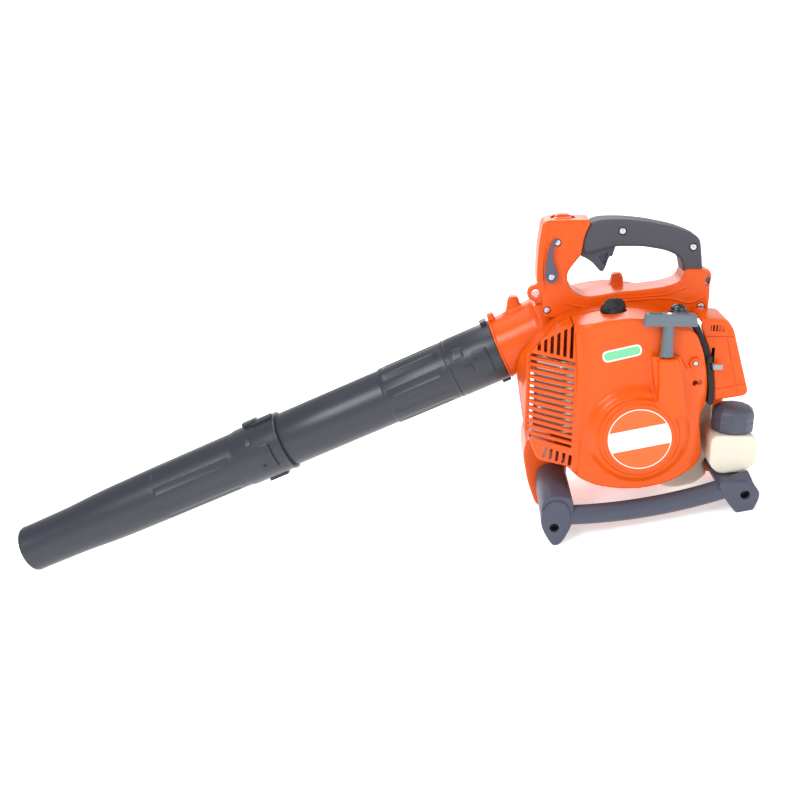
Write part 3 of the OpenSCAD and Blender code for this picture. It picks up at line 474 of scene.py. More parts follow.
def spun(name, profile, sides=112):
    """A closed profile of (radius, forward) points spun about the tube's axis."""
    bpy.ops.object.select_all(action="DESELECT")
    bpy.ops.mesh.primitive_circle_add(vertices=len(profile), fill_type="NOTHING")
    piece = bpy.context.object
    piece.name = name
    for vert, (radius, forward) in zip(piece.data.vertices, profile):
        vert.co = (radius, 0, forward)
    open_edit()
    bpy.ops.mesh.spin(steps=sides, angle=math.tau, center=(0, 0, 0), axis=(0, 0, 1))
    bpy.ops.mesh.select_all(action="SELECT")
    bpy.ops.mesh.remove_doubles(threshold=0.001)
    bpy.ops.mesh.normals_make_consistent(inside=False)
    bpy.ops.object.mode_set(mode="OBJECT")
    return piece


def wrapped(name, outline, radius, height):
    """A raised pad on a tube: an outline of (degrees round, forward) wrapped on a radius."""
    pad = plate(name, outline, 0, 1)
    modify(pad, "TRIANGULATE")
    open_edit()
    bpy.ops.mesh.subdivide(number_cuts=3)
    bpy.ops.object.mode_set(mode="OBJECT")
    for vert in pad.data.vertices:
        angle, out, forward = math.radians(vert.co.x), radius + height * vert.co.y, vert.co.z
        vert.co = (out * math.cos(angle), out * math.sin(angle), forward)
    bpy.ops.object.mode_set(mode="EDIT")
    close_edit()
    return pad


def fluted(tube, count, radius, end_radius, start, stop, deep, turn=0):
    """Cuts long shallow flutes with rounded ends into a tube."""
    for k in range(count):
        angle = math.tau * k / count + turn
        cutter = block("flute", (-4, -7.2, start), (4, 7.2, stop))
        bevel(cutter, 3.9, 4)
        slope = (end_radius - radius) / (stop - start)
        for vert in cutter.data.vertices:
            vert.co.x += radius - deep + 4 + slope * (vert.co.z - start)
        cutter.data.transform(Matrix.Rotation(angle, 4, "Z"))
        combine(tube, cutter)


# Blow-moulded polypropylene: charcoal with a wide soft sheen and a faint long-wave unevenness
tube_plastic = moulded_plastic("satin charcoal polypropylene", "#2f333d", "#292c35", 0.33, 2.4, 0.02,
        specular=0.45)
PLAIN_R, COLLAR_R, UPPER = 32.3, 34.5, 272
upper = spun("upper_air_tube", [(31.58, 0.3), (34.0, 0.3), (34.5, 0.8), (34.5, 54.5), (34.0, 55.4),
             (34.0, 56.8), (34.6, 57.4), (34.6, 59.4),(34.0, 60.2), (33.9, 62), (33.6, 138), (33.0, 139.2),
             (32.4, 139.6), (PLAIN_R, 140.5), (PLAIN_R, 200),(PLAIN_R, 315.5), (31.9, 316), (30.3, 316),
             (30.3, 200), (30.3, 141), (30, 62), (30, 36), (31.58, 34)])
fluted(upper, 10, 34.0, 33.6, 68, 133, 0.9, math.radians(-108))
pads = []
for turn in (-90, 90):
    band = soften([(turn - 24, 12), (turn + 30, 12), (turn + 30, 30), (turn + 16, 30), (turn + 16, 24),
                  (turn - 24, 24)], 3)
    pads.append(wrapped("bayonet band", band, COLLAR_R - 0.6, 2.6))
    pads.append(wrapped("band step", soften([(turn - 6, 33), (turn + 10, 33), (turn + 10, 43),
                (turn - 6, 43)], 3), COLLAR_R - 0.6, 1.6))
for turn, low, high, tall in ((0, 2, 9, 5.2), (180, 2, 12, 4.2), (-52, 38, 50, 1.8), (150, 14, 42, 2.2)):
    pads.append(wrapped("lug", soften([(turn - 11, low), (turn + 11, low), (turn + 11, high),
                (turn - 11, high)], 2.5), COLLAR_R - 1, tall))
for pad in pads:
    bevel(pad, 0.7, 2, 50)
upper = join([upper] + pads, "upper_air_tube")
upper.data.transform(TUBE)
settle(upper, tube_plastic, 40)
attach(upper, "upper_tube")
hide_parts("upper_tube")

nozzle = spun("nozzle_air_tube", [(32.38, 0.3), (34.9, 0.3), (35.4, 0.9), (35.4, 2.8), (34.7, 3.6),
              (34.5, 4.6), (34.5, 55.5), (34.1, 56.5),(33.4, 60.5), (33.1, 64), (32.6, 172), (32.0, 225),
              (31.2, 252), (29.9, 275), (29.2, 290), (28.7, 320),(28.4, 351), (28.7, 353.5), (28.2, 355.8),
              (27.6, 356), (26.4, 356), (26.0, 355.4), (26.0, 300), (29.7, 225),(30.1, 60), (30.4, 46.5),
              (32.38, 46)])
fluted(nozzle, 10, 33.2, 32.8, 70, 168, 0.8, math.radians(-104))
pads = []
for turn in (-90, 90):
    band = soften([(turn - 30, 14), (turn + 24, 14), (turn + 24, 26), (turn - 16, 26), (turn - 16, 32),
                  (turn - 30, 32)], 3)
    pads.append(wrapped("bayonet band", band, COLLAR_R - 0.6, 2.6))
for turn, low, high, tall in ((4, 24, 41, 5.5), (-6, 3, 30, 3.6), (180, 16, 40, 4.5), (-48, 34, 40, 1.8),
        (120, 8, 46, 1.8)):
    half_turn = 12 if tall > 4 else (3 if high > 44 else 9)
    pads.append(wrapped("lug", soften([(turn - half_turn, low), (turn + half_turn, low),
                (turn + half_turn, high), (turn - half_turn, high)], 2.5), COLLAR_R - 1, tall))
for pad in pads:
    bevel(pad, 0.7, 2, 50)
nozzle = join([nozzle] + pads, "nozzle_air_tube")
nozzle.data.transform(TUBE @ Matrix.Translation((0, 0, UPPER)))
settle(nozzle, tube_plastic, 40)
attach(nozzle, "nozzle")
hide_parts("nozzle_tube")

# ---- Engine cover ----
# One glossy orange moulding over the engine: a grille in front of the muffler, a round dome over the recoil
# starter with a raised guide for the rope above it, and a stepped edge beside the air filter.
cover = plate("engine_cover_shell", soften(COVER, 6), -99, -45.3)
combine(cover, plate("plan", soften(PLAN, 9), -200, 200, upright=True), "INTERSECT")
skirt = rod("skirt", (0, -98, 0), (0, -106, 0), 54, 46, 96)
combine(cover, skirt, "UNION")
combine(cover, rod("dome", (0, -98, 0), (0, -112.6, 0), 45, 40.5, 96), "UNION")
facet = plate("facet", [(20, 16), (66, 6), (58, 46), (37, 86), (8, 86), (12, 60)], -99, -90)
for vert in facet.data.vertices:
    if vert.co.x > 50:
        vert.co.y += 12 if vert.co.x > 60 else 3.2
    elif vert.co.y < -98:
        vert.co.y = -107
combine(cover, facet, "UNION")
guide = plate("guide", soften([(17, 20), (48, 24), (40, 59), (35, 85), (14, 85), (16, 60)], 4), -114, -97)
bevel(guide, 4.5, 4, 50)
combine(cover, guide, "UNION")
ridge = plate("ridge", soften([(-66, -46), (-60, -46), (-57, 20), (-56, 60), (-62, 108), (-68, 108),
              (-64, 60), (-65, 20)], 4), -98.4, -60)
combine(cover, ridge, "UNION")
melt(cover, 1.3, 0.6, 12)
dome_rim = rod("dome rim", (0, -111, 0), (0, -114.9, 0), 38.5, 36.5, 128)
bevel(dome_rim, 0.9, 3, 40)
combine(cover, dome_rim, "UNION")
cavity = plate("cavity", soften(inset(COVER, 3.4), 7), -95.6, -40)
combine(cavity, plate("plan", soften(inset(PLAN, 3.4), 7), -200, 200, upright=True), "INTERSECT")
combine(cover, cavity)
combine(cover, rod("starter room", (0, -103, 0), (0, -60, 0), 45, sides=96))
combine(cover, rod("starter room", (0, -111.9, 0), (0, -60, 0), 34, sides=96))
ROPE_X, ROPE_Y = 22.6, -107
combine(cover, rod("rope way", (ROPE_X, ROPE_Y, 0), (ROPE_X, ROPE_Y, 120), 3.4, sides=32))
SLOT_PITCH = 98 / 14
cutters = []
for k in range(14):
    low, left = 69 - k * SLOT_PITCH, -118 + max(0, k - 7) * 1.6
    slot = plate("slot", soften([(left, low - 1), (-66, low + 1), (-66, low + 4.6), (left, low + 2.6)], 1.2,
                 3), -110, -40)
    cutters.append(slot)
for k in range(7):
    x = -109 + 6.2 * k
    cutters.append(plate("slot", soften([(x, 76.5), (x + 3.4, 76.5), (x + 3.2, 81.5 + 5.2 * k),
                   (x, 78.5 + 5.2 * k)], 1.1, 3), -110, -40))
for k in range(5):
    x = -94 + 6.2 * k
    cutters.append(plate("slot", soften([(x, -41), (x + 3.2, -41), (x + 4.2, -28.5), (x + 1, -28.5)], 1, 3),
                   -110, -47))
for cutter in cutters:
    combine(cover, cutter)
combine(cover, rod("boot way", (-24, -47, 90), (-24, -47, 150), 11))
combine(cover, rod("boot way", (-25, -60, 90), (-25, -60, 150), 13))
combine(cover, block("filter way", (55, -64, 47), (80, -40, 97)))
combine(cover, rod("primer way", (41, -58, 90), (41, -58, 140), 7.2))
seat = rod("seat", (54, -97, 77), (54, -100.4, 77), 6.2, 5.4, 48)
combine(seat, rod("hole", (54, -90, 77), (54, -104, 77), 3, sides=32))
bevel(seat, 0.6, 2, 40)
combine(cover, rod("hole", (54, -90, 77), (54, -110, 77), 3, sides=32))
for x in (55.5, 61):
    combine(cover, rod("key hole", (x, -90, 55), (x, -110, 55), 2.9, sides=32))
cover = join([cover, seat], "engine_cover_shell")
settle(cover, orange_abs, 40)
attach(cover, "housing")
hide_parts("engine_cover")

# ---- Recoil starter ----
# A grey grip on a braided rope that winds round the pulley under the dome, and a flat spring that takes it
# back. The grip is a satin nylon T with bevelled ends; its flared foot rests on the guide.
pull_nylon = moulded_plastic("satin grey nylon", "#66717b", "#5f6a74", 0.38, 1.0, 0.02)
bar = plate("bar", [(-3, 118), (-0.5, 130.5), (48.5, 130.5), (51, 118)], -113.4, -100.6)
bevel(bar, 1.6, 3)
stem = rod("stem", (ROPE_X, ROPE_Y, 91), (ROPE_X, ROPE_Y, 121), 6.0, 5.4, 40)
combine(bar, stem, "UNION")
combine(bar, rod("stem foot", (ROPE_X, ROPE_Y, 86.4), (ROPE_X, ROPE_Y, 92.5), 7.6, 5.8, 40), "UNION")
melt(bar, 0.55, 0.5, 6)
combine(bar, rod("rope hole", (ROPE_X, ROPE_Y, 80), (ROPE_X, ROPE_Y, 128.5), 2.1, sides=24))
combine(bar, rod("knot seat", (ROPE_X, ROPE_Y, 127), (ROPE_X, ROPE_Y, 132), 4.2, sides=32))
for x0, x1 in ((3, 16), (29, 42)):
    pocket = block("pocket", (x0, -111, 128.6), (x1, -103, 133))
    bevel(pocket, 1, 2)
    combine(bar, pocket)
bar.name = "starter_grip"
settle(bar, pull_nylon, 40)
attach(bar, "pull_handle")
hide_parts("starter_handle")

# Braided polyester: off-white strands about 1.2 mm wide, crossing both ways
rope_braid = bpy.data.materials.new("braided polyester")
rope_braid.use_nodes = True
tree = rope_braid.node_tree
shader = tree.nodes["Principled BSDF"]
place = add_node(tree, "ShaderNodeTexCoord").outputs["Object"]
strand = add_node(tree, "ShaderNodeTexWave", [("Vector", place)], Scale=190.0, Distortion=1.5,
                  bands_direction="DIAGONAL")
tone = add_node(tree, "ShaderNodeMix", [("Factor", strand.outputs["Fac"])], data_type="RGBA")
tone.inputs["A"].default_value = linear("#cfccc0")
tone.inputs["B"].default_value = linear("#efeee6")
tree.links.new(tone.outputs["Result"], shader.inputs["Base Color"])
weave = add_node(tree, "ShaderNodeBump", [("Height", strand.outputs["Fac"])], Distance=0.0003)
tree.links.new(weave.outputs["Normal"], shader.inputs["Normal"])
shader.inputs["Roughness"].default_value = 0.85
shader.inputs["Sheen Weight"].default_value = 0.3
rope = rod("starter_rope_run", (ROPE_X, ROPE_Y, 8), (ROPE_X, ROPE_Y, 128), 1.6, sides=16)
open_edit()
for height in (50, 84, 67):
    bpy.ops.mesh.select_all(action="SELECT")
    bpy.ops.mesh.bisect(plane_co=(0, 0, height), plane_no=(0, 0, 1))
bpy.ops.object.mode_set(mode="OBJECT")
settle(rope, rope_braid)
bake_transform(rope)
bpy.ops.object.select_all(action="DESELECT")
bpy.ops.mesh.primitive_uv_sphere_add(segments=24, ring_count=16, radius=3.2, location=(ROPE_X, ROPE_Y,
        129.2), scale=(1, 1, 0.75))
bpy.ops.object.transform_apply(location=True, rotation=True, scale=True)
knot = bpy.context.object
knot.name = "rope_knot"
settle(knot, rope_braid)
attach(knot, "pull_handle")
finish(rope_braid, "starter_rope")
finish(ground_steel, "recoil_spring")

# ---- Badges ----
# A round foil disc on the dome with a pale ring and a tilted pale band, and a small mint oval with a pale
# rim. Both are plain: printed polyester under a clear gloss layer, glued on.


def printed_foil(name, code):
    """Printed polyester foil: even ink under a clear gloss layer."""
    return moulded_plastic(name, code, code, 0.22, 3.0, 0.004, specular=0.5)


white_foil = printed_foil("white printed foil", "#f6f4ef")
orange_foil = printed_foil("orange printed foil", "#e85e10")
mint_foil = printed_foil("mint printed foil", "#6fc794")
disc = rod("disc", (0, -115, 0), (0, -115.45, 0), 33, sides=128)
settle(disc, orange_foil)
white_ring = rod("foil_ring", (0, -115.2, 0), (0, -115.7, 0), 32.3, sides=128)
combine(white_ring, rod("hole", (0, -110, 0), (0, -120, 0), 31.5, sides=128))
settle(white_ring, white_foil)
band = plate("foil_band", [(-40, -19), (40, -1), (40, 21), (-40, 3)], -115.75, -115.3)
combine(band, rod("round", (0, -120, 0), (0, -110, 0), 31.9, sides=128), "INTERSECT")
settle(band, white_foil)
OVAL = Matrix.Translation((-20.5, 0, 86.5)) @ Matrix.Rotation(math.radians(-14), 4, "Y")
oval = plate("oval_rim", soften([(-20, -6), (20, -6), (20, 6), (-20, 6)], 5.9, 8), -99.35, -98.6)
oval.data.transform(OVAL)
settle(oval, white_foil)
oval_core = plate("oval_core", soften([(-18.4, -4.4), (18.4, -4.4), (18.4, 4.4), (-18.4, 4.4)], 4.3, 8),
                  -99.6, -98.7)
oval_core.data.transform(OVAL)
settle(oval_core, mint_foil)
for piece, name in ((disc, "badge_disc"), (white_ring, "badge_ring"), (band, "badge_band"),
                    (oval, "label_rim"), (oval_core, "label_core")):
    piece.name = name
    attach(piece, "housing")
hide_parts("cover_badges")

# ---- Plug boot and lead ----
# A thick black rubber boot bent over the spark plug, with moulded ribs, and the lead that runs down to the
# coil. Moulded rubber: deep, dull, very slightly uneven
black_rubber = moulded_plastic("moulded black rubber", "#1c1c1f", "#232326", 0.55, 0.9, 0.03)
boot = rod("boot", (-21, -47, 106), (-23, -48, 122), 8.4, 8.9, 48)
for place, radius in (((-21.5, -49, 123.5), 9.6), ((-27, -52, 124), 9.2), ((-32, -55, 121.5), 7.4)):
    bpy.ops.mesh.primitive_uv_sphere_add(segments=48, ring_count=24, radius=radius, location=place)
    combine(boot, bpy.context.object, "UNION")
combine(boot, rod("elbow", (-24, -48, 124), (-25.5, -70, 115.5), 9.4, 7.2, 48), "UNION")
combine(boot, rod("collar", (-24.9, -61, 119.5), (-25.2, -64, 118.2), 9.7, sides=48), "UNION")
melt(boot, 0.7, 0.6, 10)
combine(boot, rod("plug way", (-20, -47, 100), (-22.6, -47, 118), 5, sides=32))
boot.name = "rubber_plug_boot"
settle(boot, black_rubber, 40)
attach(boot, "housing")
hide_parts("plug_boot")
finish(black_rubber, "ignition_lead", "fuel_line", "throttle_cable", "oil_seals", "ignition_coil",
       "intake_insulator", "fuel_cap_gasket")

# ---- Engine ----
# The single-cylinder two-stroke, mostly hidden: die-cast block and crankcase, steel crank train, and a
# pressed steel muffler that shows through the grille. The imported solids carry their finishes; the muffler
# is made again.
die_cast = metal("die-cast aluminium", "#b9bbbf", 0.5, 1.2, 0.05)
finish(die_cast, "cylinder_block", "piston", "crankcase_far_half", "crankcase_near_half", "carburettor",
       "flywheel")
finish(ground_steel, "piston_pin", "connecting_rod", "crank_throw", "crankshaft_fan_end",
       "crankshaft_starter_end", "main_bearings", "muffler_gasket", "throttle_valve", "trigger_pin",
       "trigger_spring")
# Glazed porcelain: white, very smooth
finish(moulded_plastic("glazed porcelain", "#f2f2ee", "#efeee8", 0.12, 2.0, 0.003, specular=0.6),
       "spark_plug")
# Pressed aluminised steel: pale grey, brushed looking
muffler_steel = metal("aluminised steel", "#dddad4", 0.34, 1.0, 0.02)
muffler = plate("muffler_shell", soften([(-105, -20), (-104, -47), (-77, -72), (-55, -74), (-55, -20)], 5),
                -12, 70, upright=True)
bevel(muffler, 2.5, 3, 60)
for low in (2, 26, 50):
    band_cut = plate("swage", soften([(-107, -18), (-106, -48), (-78, -74), (-53, -76), (-53, -18)], 5),
                     low, low + 2, upright=True)
    core = plate("core", soften([(-104, -21), (-103, -46.5), (-76.6, -71), (-56, -73), (-56, -21)], 5),
                 low - 1, low + 3, upright=True)
    combine(band_cut, core)
    combine(muffler, band_cut)
for x, y, z in ((-97, -53, 12), (-80, -69, 60)):
    rivet = rod("bolt", (x, y, z), (x - 2, y - 2.3, z), 3.2, sides=6)
    bevel(rivet, 0.4, 2)
    muffler = join([muffler, rivet], "muffler_shell")
settle(muffler, muffler_steel)
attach(muffler, "housing")
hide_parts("muffler")

# ---- Air filter ----
# A clip-on box of gloss orange ABS over a foam element, on a black rubber-edged base plate that shows as a
# strip between it and the engine cover. A flat grey tab works the choke.
FILTER = [(80.3, 30.5), (112, 36.5), (115, 41), (95, 107), (88, 117), (66, 118), (61.5, 114), (61, 109.4),
          (70.6, 87), (76.6, 66), (79.6, 45)]
box = plate("filter_box", soften(FILTER, 3.2), -78.5, -24)
bevel(box, 3.2, 4, 50)
combine(box, plate("core", [(80.3, 33), (111, 39), (93, 106), (87, 114.5), (68, 115.5), (76.9, 96),
        (76.9, 33)], -75.6, -26.6))
combine(box, plate("base room", [(50, 20), (80.3, 20), (80.3, 114.1), (50, 114.1)], -76.9, -20))
combine(box, block("choke way", (73.8, -80, 65.5), (77.2, -76, 88)))
for line in ([(77, 43), (118, 51.5), (118, 50.7), (77, 42.2)], [(66, 100.4), (104, 100.4), (104, 99.6),
             (66, 99.6)], [(87.6, 99), (89, 99), (104.5, 40), (103, 40)]):
    combine(box, plate("crease", line, -79.5, -77.7))
combine(box, plate("vent", soften([(71, 105.5), (86, 105), (83, 112), (71, 112)], 1.5), -80, -76.9))
for k in range(4):
    fin = plate("vent bar", [(72 + 3.2 * k, 105.4), (73.4 + 3.2 * k, 105.4), (73.4 + 3.2 * k, 112),
                (72 + 3.2 * k, 112)], -78.3, -76)
    box = join([box, fin], "filter_box")
settle(box, orange_abs)
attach(box, "housing")
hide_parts("air_filter_cover")
STRIP_LEFT = [(73.2, 27), (73.2, 45), (69.8, 66), (63.8, 87), (54.5, 107.5), (50.5, 114)]
STRIP_RIGHT = [(79.6, 27), (79, 45), (76, 66), (70, 87), (60.5, 109), (58, 114)]
base = plate("filter_base", [(77, 27), (80.2, 27), (80.2, 114), (77, 114)], -76.6, -24)
edge = plate("edge seal", soften(STRIP_RIGHT + STRIP_LEFT[::-1], 3), -82.5, -70)
bevel(edge, 1.2, 3, 60)
bracket = block("choke bracket", (68.6, -85.5, 72.5), (74, -81, 80.5))
bevel(bracket, 0.8, 3)
combine(edge, bracket, "UNION")
combine(edge, block("choke way", (73.8, -84, 65.5), (76.9, -69, 88)))
combine(base, rod("bore", (70, -47, 66), (90, -47, 66), 9.2))
base = join([base, edge], "filter_base")
settle(base, black_rubber)
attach(base, "housing")
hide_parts("air_filter_base")
# Open-cell foam: charcoal, full of small pits
finish(moulded_plastic("open-cell foam", "#3a3d3f", "#25282a", 0.9, 1.2, 0.3), "air_filter_element")
# Satin grey nylon, a little lighter than the pull grip
choke_nylon = moulded_plastic("pale grey nylon", "#9ba1a8", "#949aa1", 0.4, 1.0, 0.015)
finish(choke_nylon, "choke_lever")

# ---- Primer ----
# A soft clear-black rubber bulb in a round collar beside the pull grip; each press draws fuel into the
# carburettor.
collar = rod("primer collar", (41, -58, 114), (41, -58, 121), 6.6, sides=48)
disc = rod("primer disc", (41, -58, 121), (41, -58, 123.6), 10, sides=64)
bevel(disc, 0.8, 3, 40)
bpy.ops.object.select_all(action="DESELECT")
bpy.ops.mesh.primitive_uv_sphere_add(segments=48, ring_count=24, radius=8.4, location=(41, -58, 123.3),
        scale=(1, 1, 0.7))
bpy.ops.object.transform_apply(location=True, rotation=True, scale=True)
bulb = join([collar, disc, bpy.context.object], "primer_dome")
settle(bulb, moulded_plastic("smoky primer rubber", "#2a2a30", "#202025", 0.18, 3.0, 0.004, specular=0.6))
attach(bulb, "primer")
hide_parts("primer_bulb")

# ---- Fuel tank ----
# A blow-moulded polyethylene tank in cream: a rounded box beside the cover, and a flat belly that runs
# under the engine. The threaded neck takes a faceted nylon cap with a rubber seal.
tank_pe = moulded_plastic("natural polyethylene", "#ddd8ca", "#d6d0be", 0.34, 2.2, 0.02)
tank_pe.node_tree.nodes["Principled BSDF"].inputs["Subsurface Weight"].default_value = 0.35
tank_pe.node_tree.nodes["Principled BSDF"].inputs["Subsurface Radius"].default_value = (0.012, 0.009, 0.006)
tank_pe.node_tree.nodes["Principled BSDF"].inputs["Subsurface Scale"].default_value = 0.5
head = plate("tank", soften([(77, -34), (84, -42), (91, -44.5), (113, -41), (121, -37), (126, -27),
             (124.5, -6), (121, -2), (81, -2), (77, -7)], 5), -97, -20)
bevel(head, 6, 5, 60)
belly = plate("belly", soften([(24, -62), (33, -73), (41, -82), (55, -83), (75, -78), (89, -66), (85, -57),
              (80, -46), (24, -46)], 5), -44.4, -18)
bevel(belly, 3.5, 4, 60)
combine(head, belly, "UNION")
waist = plate("waist", soften([(66, -60), (80, -60), (88, -40), (88, 20), (84, 25), (69, 25), (66, 21)], 4),
              -44.4, -30)
bevel(waist, 3, 4, 60)
combine(head, waist, "UNION")
melt(head, 1.2, 0.5, 5)
CAP_X, CAP_Y = 102.7, -74
neck = rod("neck", (CAP_X, CAP_Y, -4), (CAP_X, CAP_Y, 11), 16, sides=64)
combine(head, neck, "UNION")
for z in (2, 6):
    thread = rod("thread", (CAP_X, CAP_Y, z), (CAP_X, CAP_Y, z + 1.6), 16.5, sides=64)
    bevel(thread, 0.5, 2, 40)
    combine(head, thread, "UNION")
combine(head, rod("mouth", (CAP_X, CAP_Y, -8), (CAP_X, CAP_Y, 14), 13.6, sides=64))
head.name = "fuel_tank_shell"
settle(head, tank_pe, 40)
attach(head, "housing")
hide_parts("fuel_tank")

# Textured nylon, blue-grey, as on the stand and the trigger
slate_nylon = moulded_plastic("slate textured nylon", "#4c505f", "#454957", 0.4, 0.9, 0.025)
cap = spun("fuel_filler_cap", [(16.8, -1.5), (21.2, -1.5), (21.8, -0.6), (22.2, 9.6), (21.6, 10.6),
           (22.2, 11.6), (22.2, 17), (20.6, 21), (16.5, 24.6), (8, 25.5), (0, 25.5), (0, 15), (16.8, 15)],
           10)
bevel(cap, 0.9, 3, 22)
cap.data.transform(Matrix.Translation((CAP_X, CAP_Y, 0)) @ Matrix.Rotation(math.radians(8), 4, "Z"))
settle(cap, slate_nylon)
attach(cap, "cap")
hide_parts("fuel_cap")

# ---- Handle ----
# Two gloss orange ABS shells that screw together round the throttle parts: a front post, a low frame over
# the engine and a rear post, with a strap ring in front and a slotted strap ear behind.
HANDLE = [(-47, 210), (-95, 209), (-99.5, 205), (-103, 178), (-104, 146), (-102, 136), (-97, 126),
          (-96, 112), (-94, 103), (-60, 104), (-15, 112), (20, 111), (60, 104), (80, 104), (81, 132),
          (80, 140), (81, 152), (76, 157.8), (52, 157.8), (52, 151), (47, 143), (30, 138), (0, 134),
          (-15, 133), (-40, 128), (-53, 127), (-66, 134), (-72, 147), (-70, 156), (-59, 170), (-57, 173),
          (-55, 192)]
body = plate("handle", soften(HANDLE, 7), -20, 20)
bevel(body, 3.4, 4, 62)
front_ear = rod("front ear", (-103.5, -5, 127), (-103.5, 5, 127), 9, sides=64)
combine(front_ear, plate("ear root", [(-104, 116), (-92, 104), (-92, 136), (-104, 135.9)], -5, 5), "UNION")
bevel(front_ear, 1.2, 3, 60)
rear_ear = plate("rear ear", soften([(66, 136), (80, 134), (85, 141), (85, 150), (80, 156), (66, 157)], 5),
                 -5, 5)
bevel(rear_ear, 1.2, 3, 60)
combine(body, front_ear, "UNION")
combine(body, rear_ear, "UNION")
lid = plate("switch frame", soften([(-89, 207), (-67, 208), (-69, 211.5), (-87, 211)], 2), -14, 14)
combine(body, lid, "UNION")
melt(body, 1.25, 0.5, 5)
combine(body, rod("strap hole", (-103.5, -8, 127), (-103.5, 8, 127), 4.5, sides=48))
strap_slot = plate("strap slot", soften([(74.9, 139.9), (80.1, 139.9), (80.1, 152.1), (74.9, 152.1)], 2.5,
                   6), -30, 30)
combine(body, strap_slot)
combine(body, plate("fan way", scroll_outline(3.3), FAN_NEAR - 0.3, 60))
combine(body, rod("cone way", along_tube(0, 0, -56), along_tube(0, 0, -2), 39.3, 34.9, 96))
combine(body, block("switch way", (-90, -8, 200), (-64, 8, 215)))
combine(body, block("trigger way", (-62, -8.2, 150), (-44, 8.2, 192)))
combine(body, block("split line", (-110, -0.25, 209.3), (-40, 0.25, 214)))
for x, z in ((-83.1, 185.4), (-91.4, 112), (72, 118)):
    combine(body, rod("screw seat", (x, -21, z), (x, -18.6, z), 4.1, sides=40))
    combine(body, rod("screw seat", (x, 18.6, z), (x, 21, z), 4.1, sides=40))
combine(body, rod("lever seat", (-88.4, -21, 149.4), (-88.4, -16, 149.4), 2.4, sides=40))
body.name = "handle_shells"
settle(body, orange_abs, 40)
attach(body, "housing")
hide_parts("handle_near_half", "handle_far_half")

# Long moulded lines that stiffen the shells: along the front post's edge, and along the low frame on both
# sides


def bead(name, points, radius, y):
    """A half-sunk moulded bead that follows points in the engine's X-Z plane."""
    bpy.ops.object.select_all(action="DESELECT")
    bpy.ops.curve.primitive_bezier_curve_add()
    line = bpy.context.object
    line.name = name
    spline = line.data.splines[0]
    spline.bezier_points.add(len(points) - 2)
    for knob, (x, z) in zip(spline.bezier_points, points):
        knob.co = (x, y, z)
        knob.handle_left_type = knob.handle_right_type = "AUTO"
    line.data.bevel_depth = radius
    line.data.bevel_resolution = 4
    line.data.use_fill_caps = True
    bpy.ops.object.convert(target="MESH")
    return bpy.context.object


beads = []
for y in (-19.6, 19.6):
    beads.append(bead("post bead", [(-93, 203), (-96.5, 178), (-97.5, 148), (-94.5, 134)], 1.3, y))
    beads.append(bead("frame bead", [(-72, 120), (-50, 116), (-20, 122), (10, 125), (40, 126), (62, 122),
                 (74, 128)], 1.5, y))
    beads.append(bead("frame bead", [(54, 138), (40, 132), (10, 128), (-20, 126)], 1.1, y))
beads = join(beads, "handle_beads")
settle(beads, orange_abs)
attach(beads, "housing")

# ---- Grip ----
# The hand grip: two halves of finely textured dark grey nylon, oval in section, closed by two screws.
# Spark-eroded texture about 0.6 mm, drawn deep enough to show as fine speckle
grip_nylon = moulded_plastic("eroded-texture grip nylon", "#4b4c55", "#404149", 0.55, 0.7, 0.09)
GRIP = [(-41, 209), (-50, 205), (-55, 192), (-57.5, 180), (-52, 173.2), (-47, 174), (-20, 181), (8, 181),
        (30, 177.5), (42, 173), (49, 167), (52, 152), (62, 149), (72, 152), (71.5, 160), (70, 172),
        (67.5, 188), (64, 192), (56, 196), (39, 202), (11, 207.5), (-10, 209.6), (-25, 210)]
grip = plate("hand_grip", soften(GRIP, 6), -17, 17)
bevel(grip, 8, 6, 62)
melt(grip, 1.15, 0.6, 10)
combine(grip, block("trigger way", (-64, -8.2, 150), (-17, 8.2, 190)))
for x, z in ((-15, 197.5), (60, 181)):
    for y0, y1 in ((-19, -15.6), (15.6, 19)):
        combine(grip, rod("screw seat", (x, y0, z), (x, y1, z), 4.4, sides=40))
settle(grip, grip_nylon, 50)
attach(grip, "housing")
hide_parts("grip_near_half", "grip_far_half")

# ---- Trigger and levers ----
# The throttle trigger, the thin lever that holds it for cruising, and the stop rocker on top of the front
# post.
trigger = plate("trigger", soften([(-56, 176), (-57, 169), (-50, 166), (-43.5, 161.5), (-38.5, 156),
                (-35.5, 152.5), (-32, 152), (-29.5, 157), (-27, 166), (-21.5, 176), (-22, 184), (-50, 186),
                (-57, 183)], 2), -7, 7)
bevel(trigger, 1.6, 4, 60)
for y0, y1 in ((-9, -3.5), (3.5, 9)):
    combine(trigger, plate("recess", soften([(-38.5, 168), (-30.5, 158.5), (-27, 173.5)], 1.2), y0, y1))
stub = plate("stub", soften([(-26, 168), (-22.6, 168.5), (-20, 178), (-20.2, 184), (-27, 184)], 1), -4, 4)
combine(trigger, stub, "UNION")
combine(trigger, rod("pin hole", (-52, -10, 180), (-52, 10, 180), 2.1, sides=32))
settle(trigger, slate_nylon)
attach(trigger, "trigger")
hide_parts("throttle_trigger")

